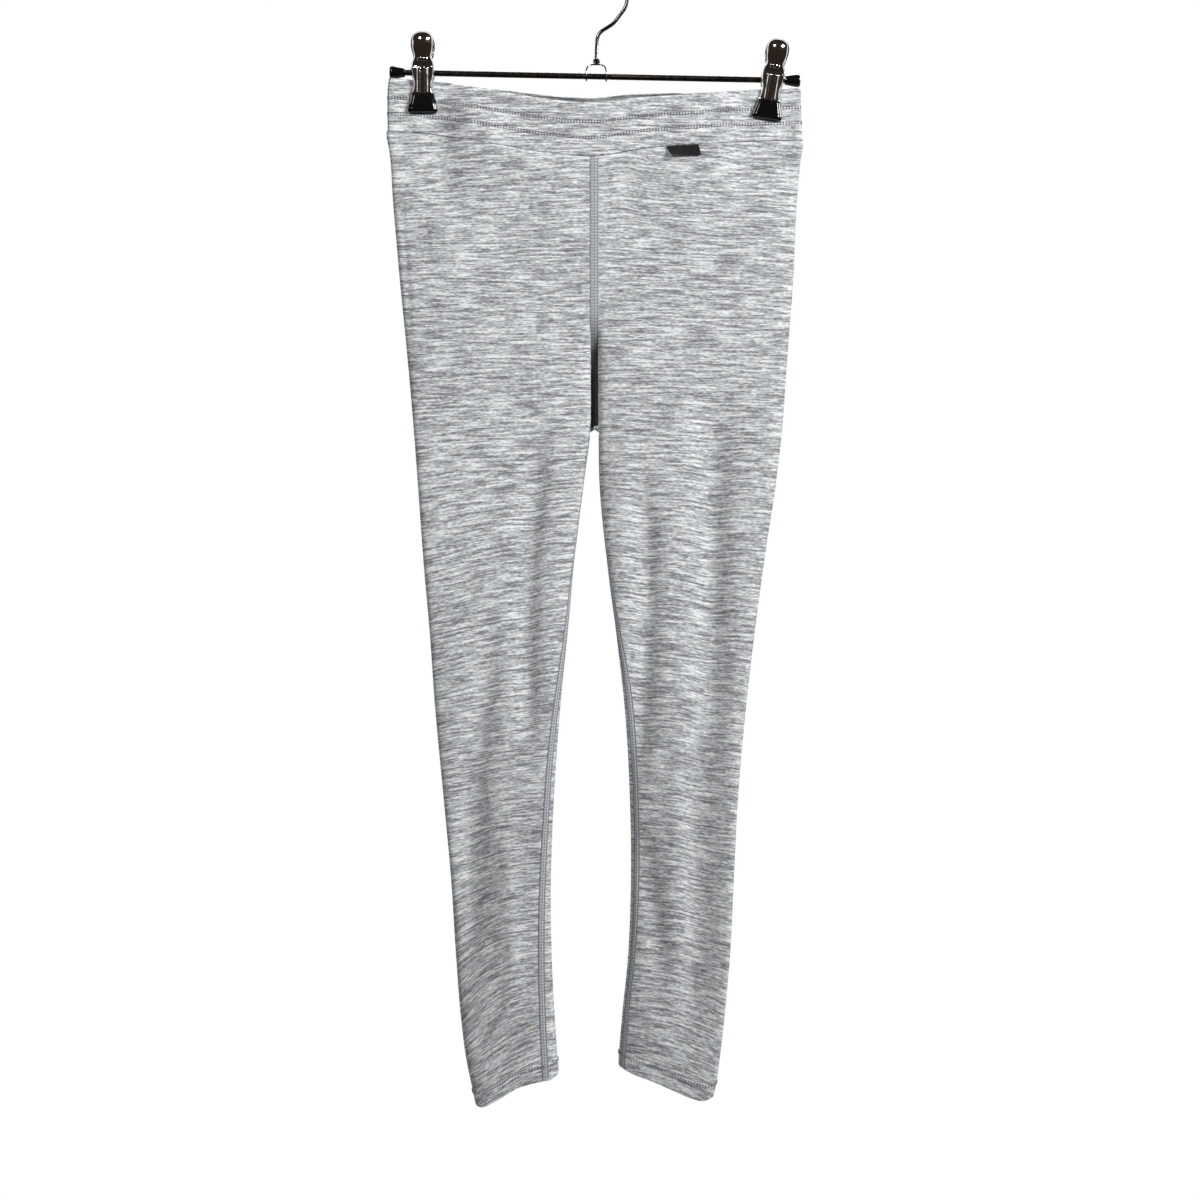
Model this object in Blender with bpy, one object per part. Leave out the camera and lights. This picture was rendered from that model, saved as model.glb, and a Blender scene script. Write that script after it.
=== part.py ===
"""Base layer pants hung by the waist from a metal clip hanger.

The hang point, inside the top of the hook, is the origin. X runs along the rod, the front of the
garment faces -Y and Z is up. Tables give heights as the drop in millimetres below the hang point.
"""

import math

import bmesh
import bpy
import numpy as np
from mathutils import Matrix, Vector

MM = 0.001

# Garment sizes, mm
CENTRE_X = -4.7
KNIT_WALL = 1.2
HEM_WALL = 1.9
BAND_WALL = 1.8
SEAM_GAP = 0.3
WAIST_GAP = 0.5
HEM_HEIGHT = 13.0
BACK_RISE = 4.5

# Crotch, mm: its drop, half the gap below it, and the depth of the cloth there
CROTCH_DROP = 391.7
CROTCH_HALF_GAP = 1.3
CROTCH_SEAM_DEPTH = 1.7

# Drops between which the hips part into two legs, and the softness of the groove between them
HIP_END_DROP = 262.0
LEG_START_DROP = 330.0
GROOVE_SOFTNESS = 1.2

# Drop at which the inseam has turned to the front
INSEAM_TURNED = 470.0

# Waist seam, mm: how far the cloth draws in, over what height, and the share of it on the band
SEAM_TUCK = 1.3
SEAM_TUCK_REACH = 3.2
SEAM_TUCK_BAND = 0.35

# Roundness of the back's outer edges, as a share of the front's
BACK_ROUNDNESS = 0.6

# Columns of points over the front and over the back of a leg
LEG_FRONT = 24
LEG_BACK = 18

# Where the clips squeeze the cloth, mm
CLIP_X = (-150.7, 142.2)
PINCH_HALF_WIDTH = 14.5
PINCH_FADE = 22.0
PINCH_DEPTH = 2.15
PINCH_BOTTOM = 126.0
PINCH_RUN_OUT = 95.0

# Top edge of the waistband: x, drop
WAIST_TOP = (
    (-180.0, 92.0),
    (-139.7, 95.6),
    (-83.0, 103.6),
    (-45.0, 109.0),
    (-8.5, 111.6),
    (30.0, 108.1),
    (84.0, 105.4),
    (137.0, 102.1),
    (171.5, 101.0),
)

# Seam that joins the waistband to the legs: x, drop
WAIST_SEAM = (
    (-181.0, 137.1),
    (-162.0, 137.3),
    (-125.0, 142.0),
    (-83.0, 149.4),
    (-45.0, 155.4),
    (-5.0, 158.6),
    (39.0, 151.8),
    (83.0, 148.6),
    (131.0, 145.2),
    (172.5, 143.9),
)

# Side edges of the waistband: drop, wearer's right x, wearer's left x
BAND_SIDES = (
    (90.0, -179.6, 170.6),
    (101.0, -180.8, 170.9),
    (120.0, -181.0, 171.2),
    (137.0, -180.9, 172.0),
    (146.0, -180.9, 172.4),
)

# Leg on the wearer's right: drop, side edge x, inner edge x, sway of the middle towards the back, and
# turn, how much nearer to the front each mm towards +X lies
RIGHT_LEG_EDGES = (
    (130.0, -180.8, -8.1, 0.0, 0.0),
    (141.0, -181.8, -8.1, 0.0, 0.0),
    (150.0, -180.0, -8.1, 0.0, 0.0),
    (195.0, -176.3, -8.1, 0.0, 0.0),
    (263.0, -170.3, -8.1, 0.0, 0.0),
    (331.0, -163.5, -8.1, 0.0, 0.0),
    (392.0, -158.2, -8.6, 0.0, 0.0),
    (433.0, -155.0, -13.8, -0.5, 0.0),
    (501.0, -150.0, -22.0, -1.5, 0.0),
    (570.0, -144.0, -28.1, -2.5, 0.02),
    (621.0, -140.5, -33.2, -2.5, 0.04),
    (706.0, -132.9, -39.2, -1.0, 0.08),
    (774.0, -126.9, -41.7, 0.5, 0.11),
    (842.0, -122.6, -40.9, 1.5, 0.12),
    (893.0, -118.5, -38.3, 2.0, 0.11),
    (927.0, -114.1, -36.0, 2.5, 0.10),
    (944.0, -110.7, -34.9, 2.5, 0.10),
    (967.0, -105.4, -34.5, 3.0, 0.10),
)

# Leg on the wearer's left, in the same columns
LEFT_LEG_EDGES = (
    (136.0, 171.8, -1.3, 0.0, 0.0),
    (149.0, 172.9, -1.3, 0.0, 0.0),
    (158.0, 171.4, -1.3, 0.0, 0.0),
    (195.0, 167.8, -1.3, 0.0, 0.0),
    (263.0, 164.4, -1.3, 0.0, 0.0),
    (331.0, 159.2, -1.3, 0.0, 0.0),
    (392.0, 154.6, -0.8, 0.0, 0.0),
    (433.0, 149.9, -0.2, -0.5, 0.0),
    (501.0, 139.7, 6.0, -1.0, 0.0),
    (570.0, 130.3, 14.5, -2.0, 0.03),
    (621.0, 124.3, 20.4, -2.0, 0.07),
    (706.0, 116.7, 25.5, -0.5, 0.15),
    (774.0, 113.3, 26.4, 1.0, 0.20),
    (842.0, 109.9, 23.8, 2.0, 0.20),
    (893.0, 105.2, 18.7, 2.5, 0.18),
    (927.0, 101.3, 16.2, 3.0, 0.17),
    (944.0, 98.8, 16.4, 3.0, 0.17),
    (961.0, 94.8, 17.0, 3.0, 0.17),
)

# Bottom edge of each leg: share of the way from the inner to the side edge, drop
RIGHT_HEM = (
    (0.0, 937.0),
    (0.06, 940.5),
    (0.20, 943.0),
    (0.35, 945.5),
    (0.51, 949.5),
    (0.69, 957.5),
    (0.84, 963.6),
    (0.94, 966.4),
    (1.0, 965.6),
)
LEFT_HEM = (
    (0.0, 932.5),
    (0.12, 937.2),
    (0.33, 943.0),
    (0.55, 950.0),
    (0.76, 956.8),
    (0.90, 958.8),
    (1.0, 956.0),
)

# Fullness of the cloth: drop, front depth, back depth, roundness of the wearer's right side and of the
# left side, roundness inside
FULLNESS = (
    (90.0, 9.8, 9.8, 5.0, 5.0, 4.0),
    (125.0, 10.0, 10.2, 5.0, 5.0, 4.0),
    (160.0, 11.0, 12.2, 5.6, 5.4, 4.0),
    (230.0, 12.6, 16.0, 7.0, 6.5, 4.0),
    (331.0, 14.0, 18.5, 8.0, 7.0, 6.5),
    (400.0, 15.0, 19.5, 8.0, 7.5, 7.0),
    (500.0, 15.6, 19.0, 8.0, 7.5, 5.6),
    (604.0, 15.4, 18.0, 8.0, 7.5, 5.0),
    (740.0, 14.8, 16.5, 6.5, 7.5, 4.4),
    (876.0, 14.0, 15.0, 4.6, 7.0, 3.6),
    (970.0, 13.2, 13.6, 3.6, 6.0, 3.0),
)

# How much of the fullness the rise seams keep: drop, front share, back share
RISE_SEAM = (
    (130.0, 1.0, 1.0),
    (262.0, 1.0, 1.0),
    (290.0, 0.80, 0.94),
    (318.0, 0.42, 0.74),
    (345.0, 0.16, 0.46),
    (392.0, 0.1, 0.08),
)

# Inseam: drop, distance from the inner edge towards the front on the right and on the left leg
INSEAM = (
    (392.0, 0.0, 0.0),
    (500.0, 0.2, 0.2),
    (561.0, 1.2, 1.9),
    (593.0, 2.3, 3.6),
    (621.0, 3.5, 4.9),
    (658.0, 4.9, 5.2),
    (748.0, 6.3, 4.9),
    (808.0, 7.7, 4.3),
    (864.0, 9.1, 3.4),
    (912.0, 10.2, 3.5),
    (970.0, 11.2, 3.6),
)

# Largest folds: leg (-1 wearer's right, 1 wearer's left), face (-1 front, 1 back), then drop and x
# at the top, middle and bottom, half width towards -X and towards +X, and depth (troughs positive,
# ridges negative)
FOLDS = (
    (-1, -1, 128.0, -146.0, 190.0, -126.0, 262.0, -104.0, 14.0, 10.0, 1.4),
    (-1, -1, 360.0, -46.0, 525.0, -61.0, 700.0, -59.0, 15.0, 10.0, 6.6),
    (-1, -1, 505.0, -86.0, 640.0, -101.0, 840.0, -104.0, 14.0, 12.0, 5.0),
    (-1, -1, 640.0, -116.0, 770.0, -114.0, 950.0, -108.0, 18.0, 15.0, 3.0),
    (-1, -1, 690.0, -78.0, 800.0, -76.0, 930.0, -74.0, 12.0, 12.0, -2.4),
    (-1, -1, 885.0, -60.0, 914.0, -76.0, 948.0, -94.0, 11.0, 8.0, 2.2),
    (1, -1, 128.0, 138.0, 190.0, 116.0, 262.0, 98.0, 14.0, 10.0, 1.2),
    (1, -1, 395.0, 34.0, 545.0, 39.0, 715.0, 27.0, 13.0, 10.0, 6.6),
    (1, -1, 330.0, 96.0, 505.0, 94.0, 730.0, 88.0, 15.0, 15.0, 9.0),
    (1, -1, 560.0, 66.0, 700.0, 66.0, 860.0, 68.0, 14.0, 12.0, -2.2),
    (1, -1, 725.0, 37.0, 800.0, 46.0, 880.0, 58.0, 11.0, 9.0, 4.0),
    (1, -1, 645.0, 80.0, 775.0, 82.0, 945.0, 80.0, 13.0, 24.0, 7.0),
    (-1, 1, 128.0, -148.0, 200.0, -122.0, 290.0, -92.0, 14.0, 11.0, 1.6),
    (-1, 1, 420.0, -118.0, 540.0, -112.0, 680.0, -108.0, 13.0, 9.0, 3.6),
    (-1, 1, 500.0, -60.0, 610.0, -66.0, 720.0, -64.0, 9.0, 12.0, 3.2),
    (-1, 1, 660.0, -88.0, 770.0, -84.0, 870.0, -84.0, 14.0, 11.0, -2.4),
    (1, 1, 128.0, 140.0, 200.0, 112.0, 290.0, 86.0, 12.0, 14.0, 1.6),
    (1, 1, 400.0, 48.0, 520.0, 52.0, 660.0, 52.0, 12.0, 9.0, 3.4),
    (1, 1, 450.0, 96.0, 580.0, 94.0, 720.0, 88.0, 13.0, 9.0, 3.6),
    (1, 1, 690.0, 64.0, 790.0, 62.0, 880.0, 58.0, 12.0, 14.0, -2.2),
)

# Label in the waist seam, mm: top and bottom ends of its two sides, then its thickness
LABEL_TOP_X = (56.6, 83.6)
LABEL_BOTTOM_X = (59.6, 85.6)
LABEL_BOTTOM_DROP = 159.4
LABEL_THICK = 1.1
LABEL_LIFT = 0.35

# Hanger sizes, mm
ROD_RADIUS = 2.5
ROD_DROP = 90.0
ROD_TILT = 0.0202
ROD_ENDS = (-178.2, 169.6)
CAP_LENGTH = 13.2
CAP_BORE = 2.8
WIRE_RADIUS = 1.6
HOOK_RADIUS = 23.3
HOOK_CENTRE_DROP = 21.7
HOOK_START = -44.0
HOOK_SWEEP = 222.0
BAIL_X = (-11.6, 5.2)
BAIL_WIRE = 0.65
BAIL_TOP_DROP = 80.0
SWIVEL_X = -2.9
CLIP_TILT = (0.0, math.radians(9.0))
CLIP_ORIGIN_X = (-150.7, 146.8)
PLATE_THICK = 0.9
PAD_INNER = 2.75

# Outline and side profile of one clip plate, from the knob down to the pad:
# height above the rod, half width, distance of the inner face from the middle, bulge outwards
PLATE_ROWS = (
    (33.4, 3.2, 11.4, 0.2),
    (31.6, 6.8, 11.0, 1.8),
    (28.2, 9.2, 10.4, 4.2),
    (23.6, 9.9, 9.4, 5.4),
    (17.6, 9.2, 8.2, 4.4),
    (12.2, 7.9, 7.0, 2.2),
    (8.2, 9.4, 6.2, 1.4),
    (-3.0, 9.5, 4.9, 1.6),
    (-8.6, 8.1, 4.5, 1.6),
    (-18.2, 9.2, 3.7, 1.5),
)

# Rubber pad on the jaw: height above the rod, half width, thickness
PAD_ROWS = (
    (-18.5, 9.3, 2.6),
    (-24.0, 10.8, 3.2),
    (-29.5, 12.3, 3.4),
    (-33.4, 12.7, 3.2),
    (-35.2, 11.2, 2.2),
)

GREY_KNIT = (0.55, 0.56, 0.59, 1.0)
CHROME = (0.62, 0.60, 0.58, 1.0)
BLACK_RUBBER = (0.015, 0.015, 0.018, 1.0)


def material(name, colour, roughness, metallic):
    made = bpy.data.materials.new(name)
    made.use_nodes = True
    shader = made.node_tree.nodes["Principled BSDF"]
    shader.inputs["Base Color"].default_value = colour
    shader.inputs["Roughness"].default_value = roughness
    shader.inputs["Metallic"].default_value = metallic
    made.diffuse_color = colour
    return made


def finish(mesh_builder, name, look, smooth=True):
    """Turns a bmesh into a named object with its own material."""
    bmesh.ops.recalc_face_normals(mesh_builder, faces=mesh_builder.faces)
    data = bpy.data.meshes.new(name)
    mesh_builder.to_mesh(data)
    mesh_builder.free()
    data.materials.append(material(name + "_look", *look))
    for face in data.polygons:
        face.use_smooth = smooth
    made = bpy.data.objects.new(name, data)
    bpy.context.collection.objects.link(made)
    return made


def column(table, index, at):
    """Smooth curve through one column of a table, read at the values of its first column."""
    rows = np.array(table, dtype=float)
    x, y = rows[:, 0], rows[:, index]
    slope = np.gradient(y, x)
    at = np.clip(at, x[0], x[-1])
    low = np.clip(np.searchsorted(x, at) - 1, 0, len(x) - 2)
    span = x[low + 1] - x[low]
    s = (at - x[low]) / span
    return (
        y[low] * (1 + 2 * s) * (1 - s) ** 2
        + slope[low] * span * s * (1 - s) ** 2
        + y[low + 1] * s * s * (3 - 2 * s)
        + slope[low + 1] * span * s * s * (s - 1)
    )


def ease(value, low, high):
    """0 below low, 1 above high, smooth between."""
    s = np.clip((value - low) / (high - low), 0.0, 1.0)
    return s * s * (3 - 2 * s)


def dome(share, power):
    """Height of a rounded end: 1 in the middle, 0 at share 1."""
    return (1 - np.clip(np.abs(share), 0, 1) ** power) ** (1 / power)


def pinch(x, drop):
    """1 where a clip squeezes the cloth flat, 0 away from it."""
    fade = 1 - ease(drop, PINCH_BOTTOM, PINCH_BOTTOM + PINCH_RUN_OUT)
    total = np.zeros_like(x * drop)
    for centre in CLIP_X:
        near = 1 - ease(np.abs(x - centre), PINCH_HALF_WIDTH, PINCH_HALF_WIDTH + PINCH_FADE)
        total = total + near
    return np.clip(total, 0, 1) * fade


def seam_tuck(face, x, share, drop):
    """The cloth draws in along the waist seam, and the edge of the band stands proud of the legs."""
    lift = BACK_RISE * (1 - share**2) ** 2 * (face > 0)
    away = (drop - column(WAIST_SEAM, 1, x) + lift) / SEAM_TUCK_REACH
    return SEAM_TUCK * np.where(away < 0, SEAM_TUCK_BAND, 1.0) * np.exp(-away * away)


def open_depth(face, x, side_x, drop):
    """Depth of the cloth, from the middle plane, above the crotch."""
    share = np.clip(np.abs((x - CENTRE_X) / (side_x - CENTRE_X)), 0, 1)
    full = column(FULLNESS, 1 if face < 0 else 2, drop)
    power = np.where(side_x < CENTRE_X, column(FULLNESS, 3, drop), column(FULLNESS, 4, drop))
    power = power * (1 if face < 0 else BACK_ROUNDNESS)
    held = pinch(x, drop)
    at_clip = dome(0.83, power)
    depth = dome(share, power) * (full * (1 - held) + PINCH_DEPTH / at_clip * held)
    return depth - seam_tuck(face, x, share, drop) * dome(share, 4.0) * (1 - held)


def fold_shift(side, face, x, drop):
    """Sum of the folds at a point, positive where the cloth sinks in."""
    total = np.zeros_like(x * drop)
    for leg, on, d0, x0, d1, x1, d2, x2, low_side, high_side, depth in FOLDS:
        if leg != side or on != face:
            continue
        middle = (
            x0 * (drop - d1) * (drop - d2) / ((d0 - d1) * (d0 - d2))
            + x1 * (drop - d0) * (drop - d2) / ((d1 - d0) * (d1 - d2))
            + x2 * (drop - d0) * (drop - d1) / ((d2 - d0) * (d2 - d1))
        )
        reach = 0.3 * (d2 - d0)
        length = ease(drop, d0, d0 + reach) * (1 - ease(drop, d2 - reach, d2))
        away = x - middle
        spread = np.where(away < 0, low_side, high_side)
        total = total + depth * length * np.exp(-((away / spread) ** 2))
    return total


class Leg:
    """One cut panel: hip and leg in one, closed along the rise seams and the inseam."""

    def __init__(self, side, edges, hem, inseam_column):
        self.side = side
        self.edges = edges
        self.hem = hem
        self.inseam_column = inseam_column
        top = float(column(WAIST_SEAM, 1, CENTRE_X))
        bottom = hem[0][1]
        self.crotch = (CROTCH_DROP - top) / (bottom - top)
        self.band = HEM_HEIGHT / (bottom - top)

    def drop(self, share_down, across, face):
        """Drop of a point, by its share of the way down the panel and across from the inside."""
        top_side = column(self.edges, 1, 140.0)
        top_x = CENTRE_X + (top_side - CENTRE_X) * across
        top = column(WAIST_SEAM, 1, top_x) + WAIST_GAP / 2
        if face > 0:
            lift = BACK_RISE * (1 - across**2) ** 2
            top = top - lift * np.clip(1 - share_down / self.crotch, 0, 1) ** 2
        return top + (column(self.hem, 1, across) - top) * share_down

    def face_line(self, share_down, face, samples=140):
        """Dense line over one face of a ring, from the inside to the side edge."""
        is_open = share_down < self.crotch
        side_x = column(self.edges, 1, self.drop(share_down, 1.0, -1))
        inner_drop = self.drop(share_down, 0.0, -1)
        inner_x = column(self.edges, 2, inner_drop)
        start_x = CENTRE_X + self.side * SEAM_GAP / 2 if is_open else inner_x
        turn = np.linspace(0, math.pi, samples)
        even = np.linspace(0, 1, samples)
        across = 0.6 * (1 - np.cos(turn)) / 2 + 0.4 * even
        x = start_x + (side_x - start_x) * across
        drop = self.drop(share_down, across, face)
        middle = (inner_x + side_x) / 2
        share = (x - middle) / (side_x - middle)
        full = column(FULLNESS, 1 if face < 0 else 2, drop)
        outside = column(FULLNESS, 3 if self.side < 0 else 4, drop) * (1 if face < 0 else BACK_ROUNDNESS)
        power = np.where(share > 0, outside, column(FULLNESS, 5, drop))
        depth = full * dome(share, power)
        if is_open:
            keep = column(RISE_SEAM, 1 if face < 0 else 2, drop)
            flat = open_depth(face, x, side_x, drop)
            floor = flat * keep
            upper = ease(drop, HIP_END_DROP, LEG_START_DROP)
            closed = np.where(share < -1, 0.0, depth)
            gap = floor - closed
            joined = closed + (gap + np.sqrt(gap * gap + GROOVE_SOFTNESS**2)) / 2
            window = 1 - ease(across, 0.25, 0.8)
            joined = closed + (joined - closed) * window
            depth = flat + (joined - flat) * upper
            if share_down > self.crotch * 0.97:
                depth = np.maximum(depth, CROTCH_SEAM_DEPTH * dome(across, 6.0))
        sink = fold_shift(self.side, face, x, drop)
        depth = depth - sink * ease(depth, 2.0, 9.0)
        sway = column(self.edges, 3, drop) - column(self.edges, 4, drop) * (x - middle)
        y = sway + face * depth
        return np.stack([x, y, -drop], axis=-1)

    def seam_offset(self, front):
        """How far along the cloth the inseam lies from the inner edge, towards the front."""
        drop = -front[0][2]
        length = np.concatenate([[0], np.cumsum(np.linalg.norm(np.diff(front, axis=0), axis=1))])
        inside = np.abs(front[:, 0] - front[0, 0])
        offset = np.interp(column(INSEAM, self.inseam_column, drop), inside, length)
        return float(offset * ease(drop, CROTCH_DROP, INSEAM_TURNED))

    def ring(self, share_down, front_count, back_count):
        """Evenly eased points of one ring, from the front seam round the side to the back seam."""
        front = self.face_line(share_down, -1)
        back = self.face_line(share_down, 1)[::-1]
        line = np.concatenate([front, back[1:]])
        if share_down >= self.crotch:
            offset = self.seam_offset(front)
            line = np.concatenate([line, front[1 : len(front) // 3]])
        length = np.concatenate([[0], np.cumsum(np.linalg.norm(np.diff(line, axis=0), axis=1))])
        side_at = length[len(front) - 1]
        if share_down >= self.crotch:
            whole = length[len(front) + len(back) - 2]
            start, end = offset + SEAM_GAP / 2, whole + offset - SEAM_GAP / 2
        else:
            start, end = 0.0, length[-1]
        places = np.concatenate(
            [
                eased_steps(start, side_at, front_count),
                eased_steps(side_at, end, back_count)[1:],
            ]
        )
        return np.stack([np.interp(places, length, line[:, k]) for k in range(3)], axis=-1)

    def rings(self, shares, front_count, back_count):
        return np.array([self.ring(s, front_count, back_count) for s in shares])


def eased_steps(low, high, count):
    """Steps that are shorter near both ends."""
    even = np.linspace(0, 1, count + 1)
    share = 0.45 * even + 0.55 * (1 - np.cos(math.pi * even)) / 2
    return low + (high - low) * share


def grid_normals(points, wrap):
    """Outward normals of a grid of rows, each row running round the cloth."""
    down = np.gradient(points, axis=0)
    if wrap:
        around = np.roll(points, -1, axis=1) - np.roll(points, 1, axis=1)
    else:
        around = np.gradient(points, axis=1)
    normal = np.cross(around, down)
    normal[[0, -1], :, 2] = 0.0
    return normal / np.maximum(np.linalg.norm(normal, axis=-1, keepdims=True), 1e-9)


def wall(name, outer, inner, wrap, look):
    """Closed body between two grids of points, in mm."""
    rows, cols = outer.shape[:2]
    builder = bmesh.new()
    out = [[builder.verts.new(Vector(p) * MM) for p in row] for row in outer]
    back = [[builder.verts.new(Vector(p) * MM) for p in row] for row in inner]
    steps = cols if wrap else cols - 1
    for i in range(rows - 1):
        for j in range(steps):
            k = (j + 1) % cols
            builder.faces.new((out[i][j], out[i][k], out[i + 1][k], out[i + 1][j]))
            builder.faces.new((back[i][j], back[i + 1][j], back[i + 1][k], back[i][k]))
    for i in (0, rows - 1):
        for j in range(steps):
            k = (j + 1) % cols
            builder.faces.new((out[i][j], back[i][j], back[i][k], out[i][k]))
    if not wrap:
        for j in (0, cols - 1):
            for i in range(rows - 1):
                builder.faces.new((out[i][j], out[i + 1][j], back[i + 1][j], back[i][j]))
    return finish(builder, name, look)


def leg_panel(name, leg):
    """The knit wall of one leg."""
    above = np.array((0, 0.014, 0.045, 0.12, 0.25, 0.4, 0.54, 0.67, 0.79, 0.89, 0.96, 1.0))
    below = np.array((0, 0.014, 0.05, 0.11, 0.18, 0.26, 0.34, 0.42, 0.5, 0.58, 0.66, 0.74))
    below = np.append(below, (0.82, 0.895, 0.955))
    margin = CROTCH_HALF_GAP / 780.0
    low_start = leg.crotch + margin
    shares = np.concatenate([above * (leg.crotch - margin), low_start + below * (1 - low_start)])
    shares = np.concatenate([shares[shares < 1 - leg.band * 1.3], [1 - leg.band, 1 - leg.band * 0.8, 1.0]])
    outer = leg.rings(shares, LEG_FRONT, LEG_BACK)
    normal = grid_normals(outer, wrap=False) * -leg.side
    is_open = shares < leg.crotch
    normal[is_open, 0] = (0.0, -1.0, 0.0)
    normal[is_open, -1] = (0.0, 1.0, 0.0)
    seam = normal[~is_open, 0] + normal[~is_open, -1]
    seam = seam / np.linalg.norm(seam, axis=-1, keepdims=True)
    normal[~is_open, 0] = seam
    normal[~is_open, -1] = seam
    hem = ease(shares, 1 - leg.band * 1.05, 1 - leg.band * 0.85)
    thick = KNIT_WALL + (HEM_WALL - KNIT_WALL) * hem
    outer = outer + normal * 0.35 * hem[:, None, None]
    inner = outer - normal * thick[:, None, None]
    return wall(name, outer, inner, False, (GREY_KNIT, 0.9, 0.0))


def waistband():
    """The band: one ring, squeezed flat under the two clips."""
    heights = np.array((0.0, 0.05, 0.3, 0.58, 0.86, 0.95, 1.0))
    across = np.linspace(-1, 1, 31)
    across = 0.5 * across + 0.5 * np.sin(across * math.pi / 2)
    rings = []
    for height in heights:
        halves = []
        for face in (-1, 1):
            middle = 0.5 * (column(BAND_SIDES, 1, 120.0) + column(BAND_SIDES, 2, 120.0))
            near_x = middle + across * 176.0
            lift = BACK_RISE * (1 - across**2) ** 2 * (face > 0)
            top = column(WAIST_TOP, 1, near_x) - lift
            low = column(WAIST_SEAM, 1, near_x) - WAIST_GAP / 2 - lift
            drop = top + (low - top) * height
            left = column(BAND_SIDES, 1, drop)
            right = column(BAND_SIDES, 2, drop)
            x = (left + right) / 2 + across * (right - left) / 2
            side = np.where(x < CENTRE_X, left, right)
            depth = open_depth(face, x, side, drop)
            halves.append(np.stack([x, face * depth, -drop], axis=-1))
        rings.append(np.concatenate([halves[0], halves[1][::-1][1:-1]]))
    outer = np.array(rings)
    normal = -grid_normals(outer, wrap=True)
    inner = outer - normal * BAND_WALL
    facing = np.sign(outer[..., 1])
    kept_apart = facing * np.maximum(inner[..., 1] * facing, 0.25)
    inner[..., 1] = np.where(np.abs(outer[..., 1]) > 0.5, kept_apart, inner[..., 1])
    return wall("waistband", outer, inner, True, (GREY_KNIT, 0.9, 0.0))


def label(leg):
    """Folded tab sewn into the waist seam; it hangs over the panel."""
    rows, cols = 5, 6
    points = np.zeros((rows, cols, 3))
    for i in range(rows):
        down = i / (rows - 1)
        for j in range(cols):
            s = j / (cols - 1)
            top_x = LABEL_TOP_X[0] + (LABEL_TOP_X[1] - LABEL_TOP_X[0]) * s
            low_x = LABEL_BOTTOM_X[0] + (LABEL_BOTTOM_X[1] - LABEL_BOTTOM_X[0]) * s
            x = top_x + (low_x - top_x) * down
            top = column(WAIST_SEAM, 1, top_x) + 0.45
            drop = top + (LABEL_BOTTOM_DROP - top) * down
            side_x = column(leg.edges, 1, drop)
            depth = open_depth(-1, x, side_x, drop)
            points[i, j] = (x, -depth - LABEL_LIFT - 1.2 * down**2, -drop)
    outer = points + np.array((0.0, -LABEL_THICK, 0.0))
    return wall("label", outer, points, False, ((0.02, 0.02, 0.025, 1.0), 0.7, 0.0))


def tube(name, path, radius, sides, look, ball=0.0):
    """Round wire along a smooth path, in mm, with closed ends."""
    path = np.array(path, dtype=float)
    tangent = np.gradient(path, axis=0)
    tangent /= np.linalg.norm(tangent, axis=1, keepdims=True)
    across = np.cross(tangent[0], (0.0, 1.0, 0.02))
    across /= np.linalg.norm(across)
    radii = np.full(len(path), radius)
    if ball:
        radii[-3:] = (radius, ball, ball * 0.75)
    builder = bmesh.new()
    rings = []
    for point, along, size in zip(path, tangent, radii):
        across = across - along * np.dot(across, along)
        across /= np.linalg.norm(across)
        other = np.cross(along, across)
        ring = []
        for k in range(sides):
            turn = 2 * math.pi * k / sides
            place = point + size * (math.cos(turn) * across + math.sin(turn) * other)
            ring.append(builder.verts.new(Vector(place) * MM))
        rings.append(ring)
    for first, second in zip(rings, rings[1:]):
        for k in range(sides):
            n = (k + 1) % sides
            builder.faces.new((first[k], first[n], second[n], second[k]))
    builder.faces.new(rings[0])
    builder.faces.new(rings[-1])
    return finish(builder, name, look)


def turned(name, profile, sides, look, place, closed=False):
    """Body turned about its own X axis from (x, radius) pairs; closed ones have a bore."""
    builder = bmesh.new()
    rings = []
    for x, radius in profile:
        ring = []
        for k in range(sides):
            turn = 2 * math.pi * k / sides
            spot = Vector((x, radius * math.cos(turn), radius * math.sin(turn)))
            ring.append(builder.verts.new(place @ (spot * MM)))
        rings.append(ring)
    pairs = list(zip(rings, rings[1:]))
    if closed:
        pairs.append((rings[-1], rings[0]))
    for first, second in pairs:
        for k in range(sides):
            n = (k + 1) % sides
            builder.faces.new((first[k], first[n], second[n], second[k]))
    if not closed:
        builder.faces.new(rings[0])
        builder.faces.new(rings[-1])
    return finish(builder, name, look)


def rod_drop(x):
    return ROD_DROP + ROD_TILT * x


def rod_frame(x):
    """Frame on the rod's axis at x, with X along the rod."""
    spot = Matrix.Translation(Vector((x, 0.0, -rod_drop(x))) * MM)
    return spot @ Matrix.Rotation(math.atan(ROD_TILT), 4, "Y")


def smooth_path(points, steps):
    """Curve through the given points."""
    points = np.array(points, dtype=float)
    at = np.arange(len(points), dtype=float)
    fine = np.linspace(0, len(points) - 1, steps)
    return np.stack(
        [column(np.stack([at, points[:, k]], axis=-1), 1, fine) for k in range(3)], axis=-1
    )


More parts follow.
